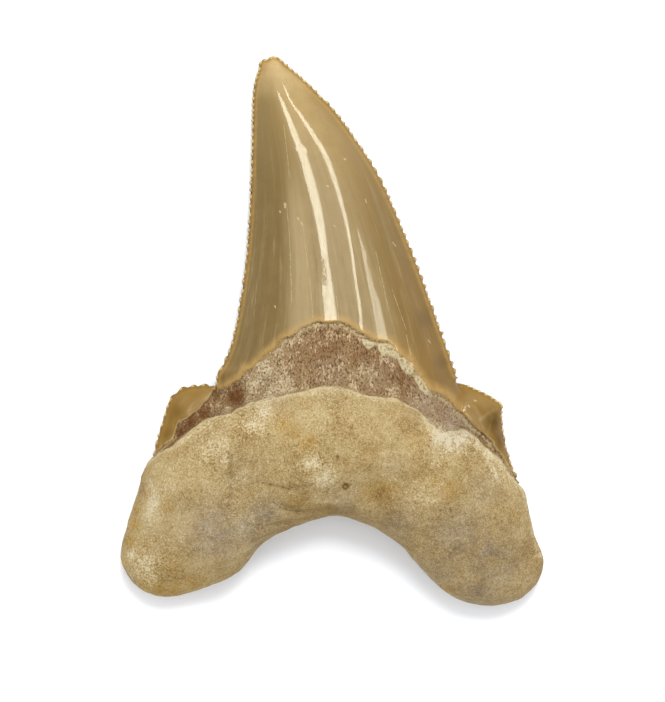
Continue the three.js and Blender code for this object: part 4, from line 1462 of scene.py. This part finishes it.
# %% Floor
FLOOR_HALF = 3
bm = bmesh.new()
bmesh.ops.create_grid(bm, x_segments=1, y_segments=1, size=FLOOR_HALF)
floor_mesh = bpy.data.meshes.new("floor")
bm.to_mesh(floor_mesh)
bm.free()
floor = bpy.data.objects.new("floor", floor_mesh)
bpy.context.scene.collection.objects.link(floor)
paper = bpy.data.materials.new("paper")
paper.use_nodes = True
paper.node_tree.nodes["Principled BSDF"].inputs["Base Color"].default_value = (0.88, 0.9, 0.94, 1)
paper.node_tree.nodes["Principled BSDF"].inputs["Roughness"].default_value = 0.9
floor_mesh.materials.append(paper)
print("the floor is", round(max(floor.dimensions), 1), "m wide")

# %% Strips
STRIP_HEIGHT = 0.6
WARM = (1, 0.99, 0.82)
STRIPS = [  # name, sideways slopes, lengthwise slopes, radiance
    ("left_strip", LEFT_SLOPES, (0.105, 0.405), 30),
    ("right_strip", RIGHT_SLOPES, (0.105, 0.475), 28),
    ("sheen", (-0.36, -0.5), (0.1, 0.28), 16),
]


def mirrored(slope, other):
    """How far off a level strip is that a surface with that slope mirrors to the camera."""
    return STRIP_HEIGHT * 2 * slope / (1 - slope ** 2 - other ** 2)


for name, sideways, lengthwise, radiance in STRIPS:
    middle = sum(sideways) / 2, sum(lengthwise) / 2
    xs = [-mirrored(slope, middle[1]) for slope in sideways]
    ys = [mirrored(slope, middle[0]) for slope in lengthwise]
    light = bpy.data.lights.new(name, "AREA")
    light.shape = "RECTANGLE"
    light.size = abs(xs[1] - xs[0])
    light.size_y = ys[1] - ys[0]
    light.energy = radiance * light.size * light.size_y * math.pi
    light.color = WARM
    lamp = bpy.data.objects.new(name, light)
    lamp.location = (sum(xs) / 2, sum(ys) / 2, STRIP_HEIGHT)
    lamp.visible_camera = False
    lamp.visible_diffuse = False
    bpy.context.scene.collection.objects.link(lamp)
    print(name, "is", round(light.size, 3), "by", round(light.size_y, 3), "m,", round(light.energy, 2), "W")

# %% Softbox and world
KEY_PLACE = Vector((0.08, 0.43, 0.75))
KEY_SIZE = 0.32
KEY_WATTS = 5.75
WORLD_STRENGTH = 1.1
key_light = bpy.data.lights.new("key", "AREA")
key_light.size = KEY_SIZE
key_light.energy = KEY_WATTS
key = bpy.data.objects.new("key", key_light)
key.location = KEY_PLACE
key.rotation_euler = (-KEY_PLACE).to_track_quat("-Z", "Y").to_euler()
key.visible_camera = False
key.visible_glossy = False
bpy.context.scene.collection.objects.link(key)
world = bpy.data.worlds.new("studio")
bpy.context.scene.world = world
world.use_nodes = True
background = world.node_tree.nodes["Background"]
background.inputs["Color"].default_value = (1, 1, 1, 1)
background.inputs["Strength"].default_value = WORLD_STRENGTH
bpy.context.scene.view_settings.view_transform = "Standard"
print("softbox", round(KEY_PLACE.length, 2), "m from the tooth, world at", WORLD_STRENGTH)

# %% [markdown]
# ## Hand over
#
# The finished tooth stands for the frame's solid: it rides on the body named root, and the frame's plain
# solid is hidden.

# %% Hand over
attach(tooth, "root")
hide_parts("tooth")
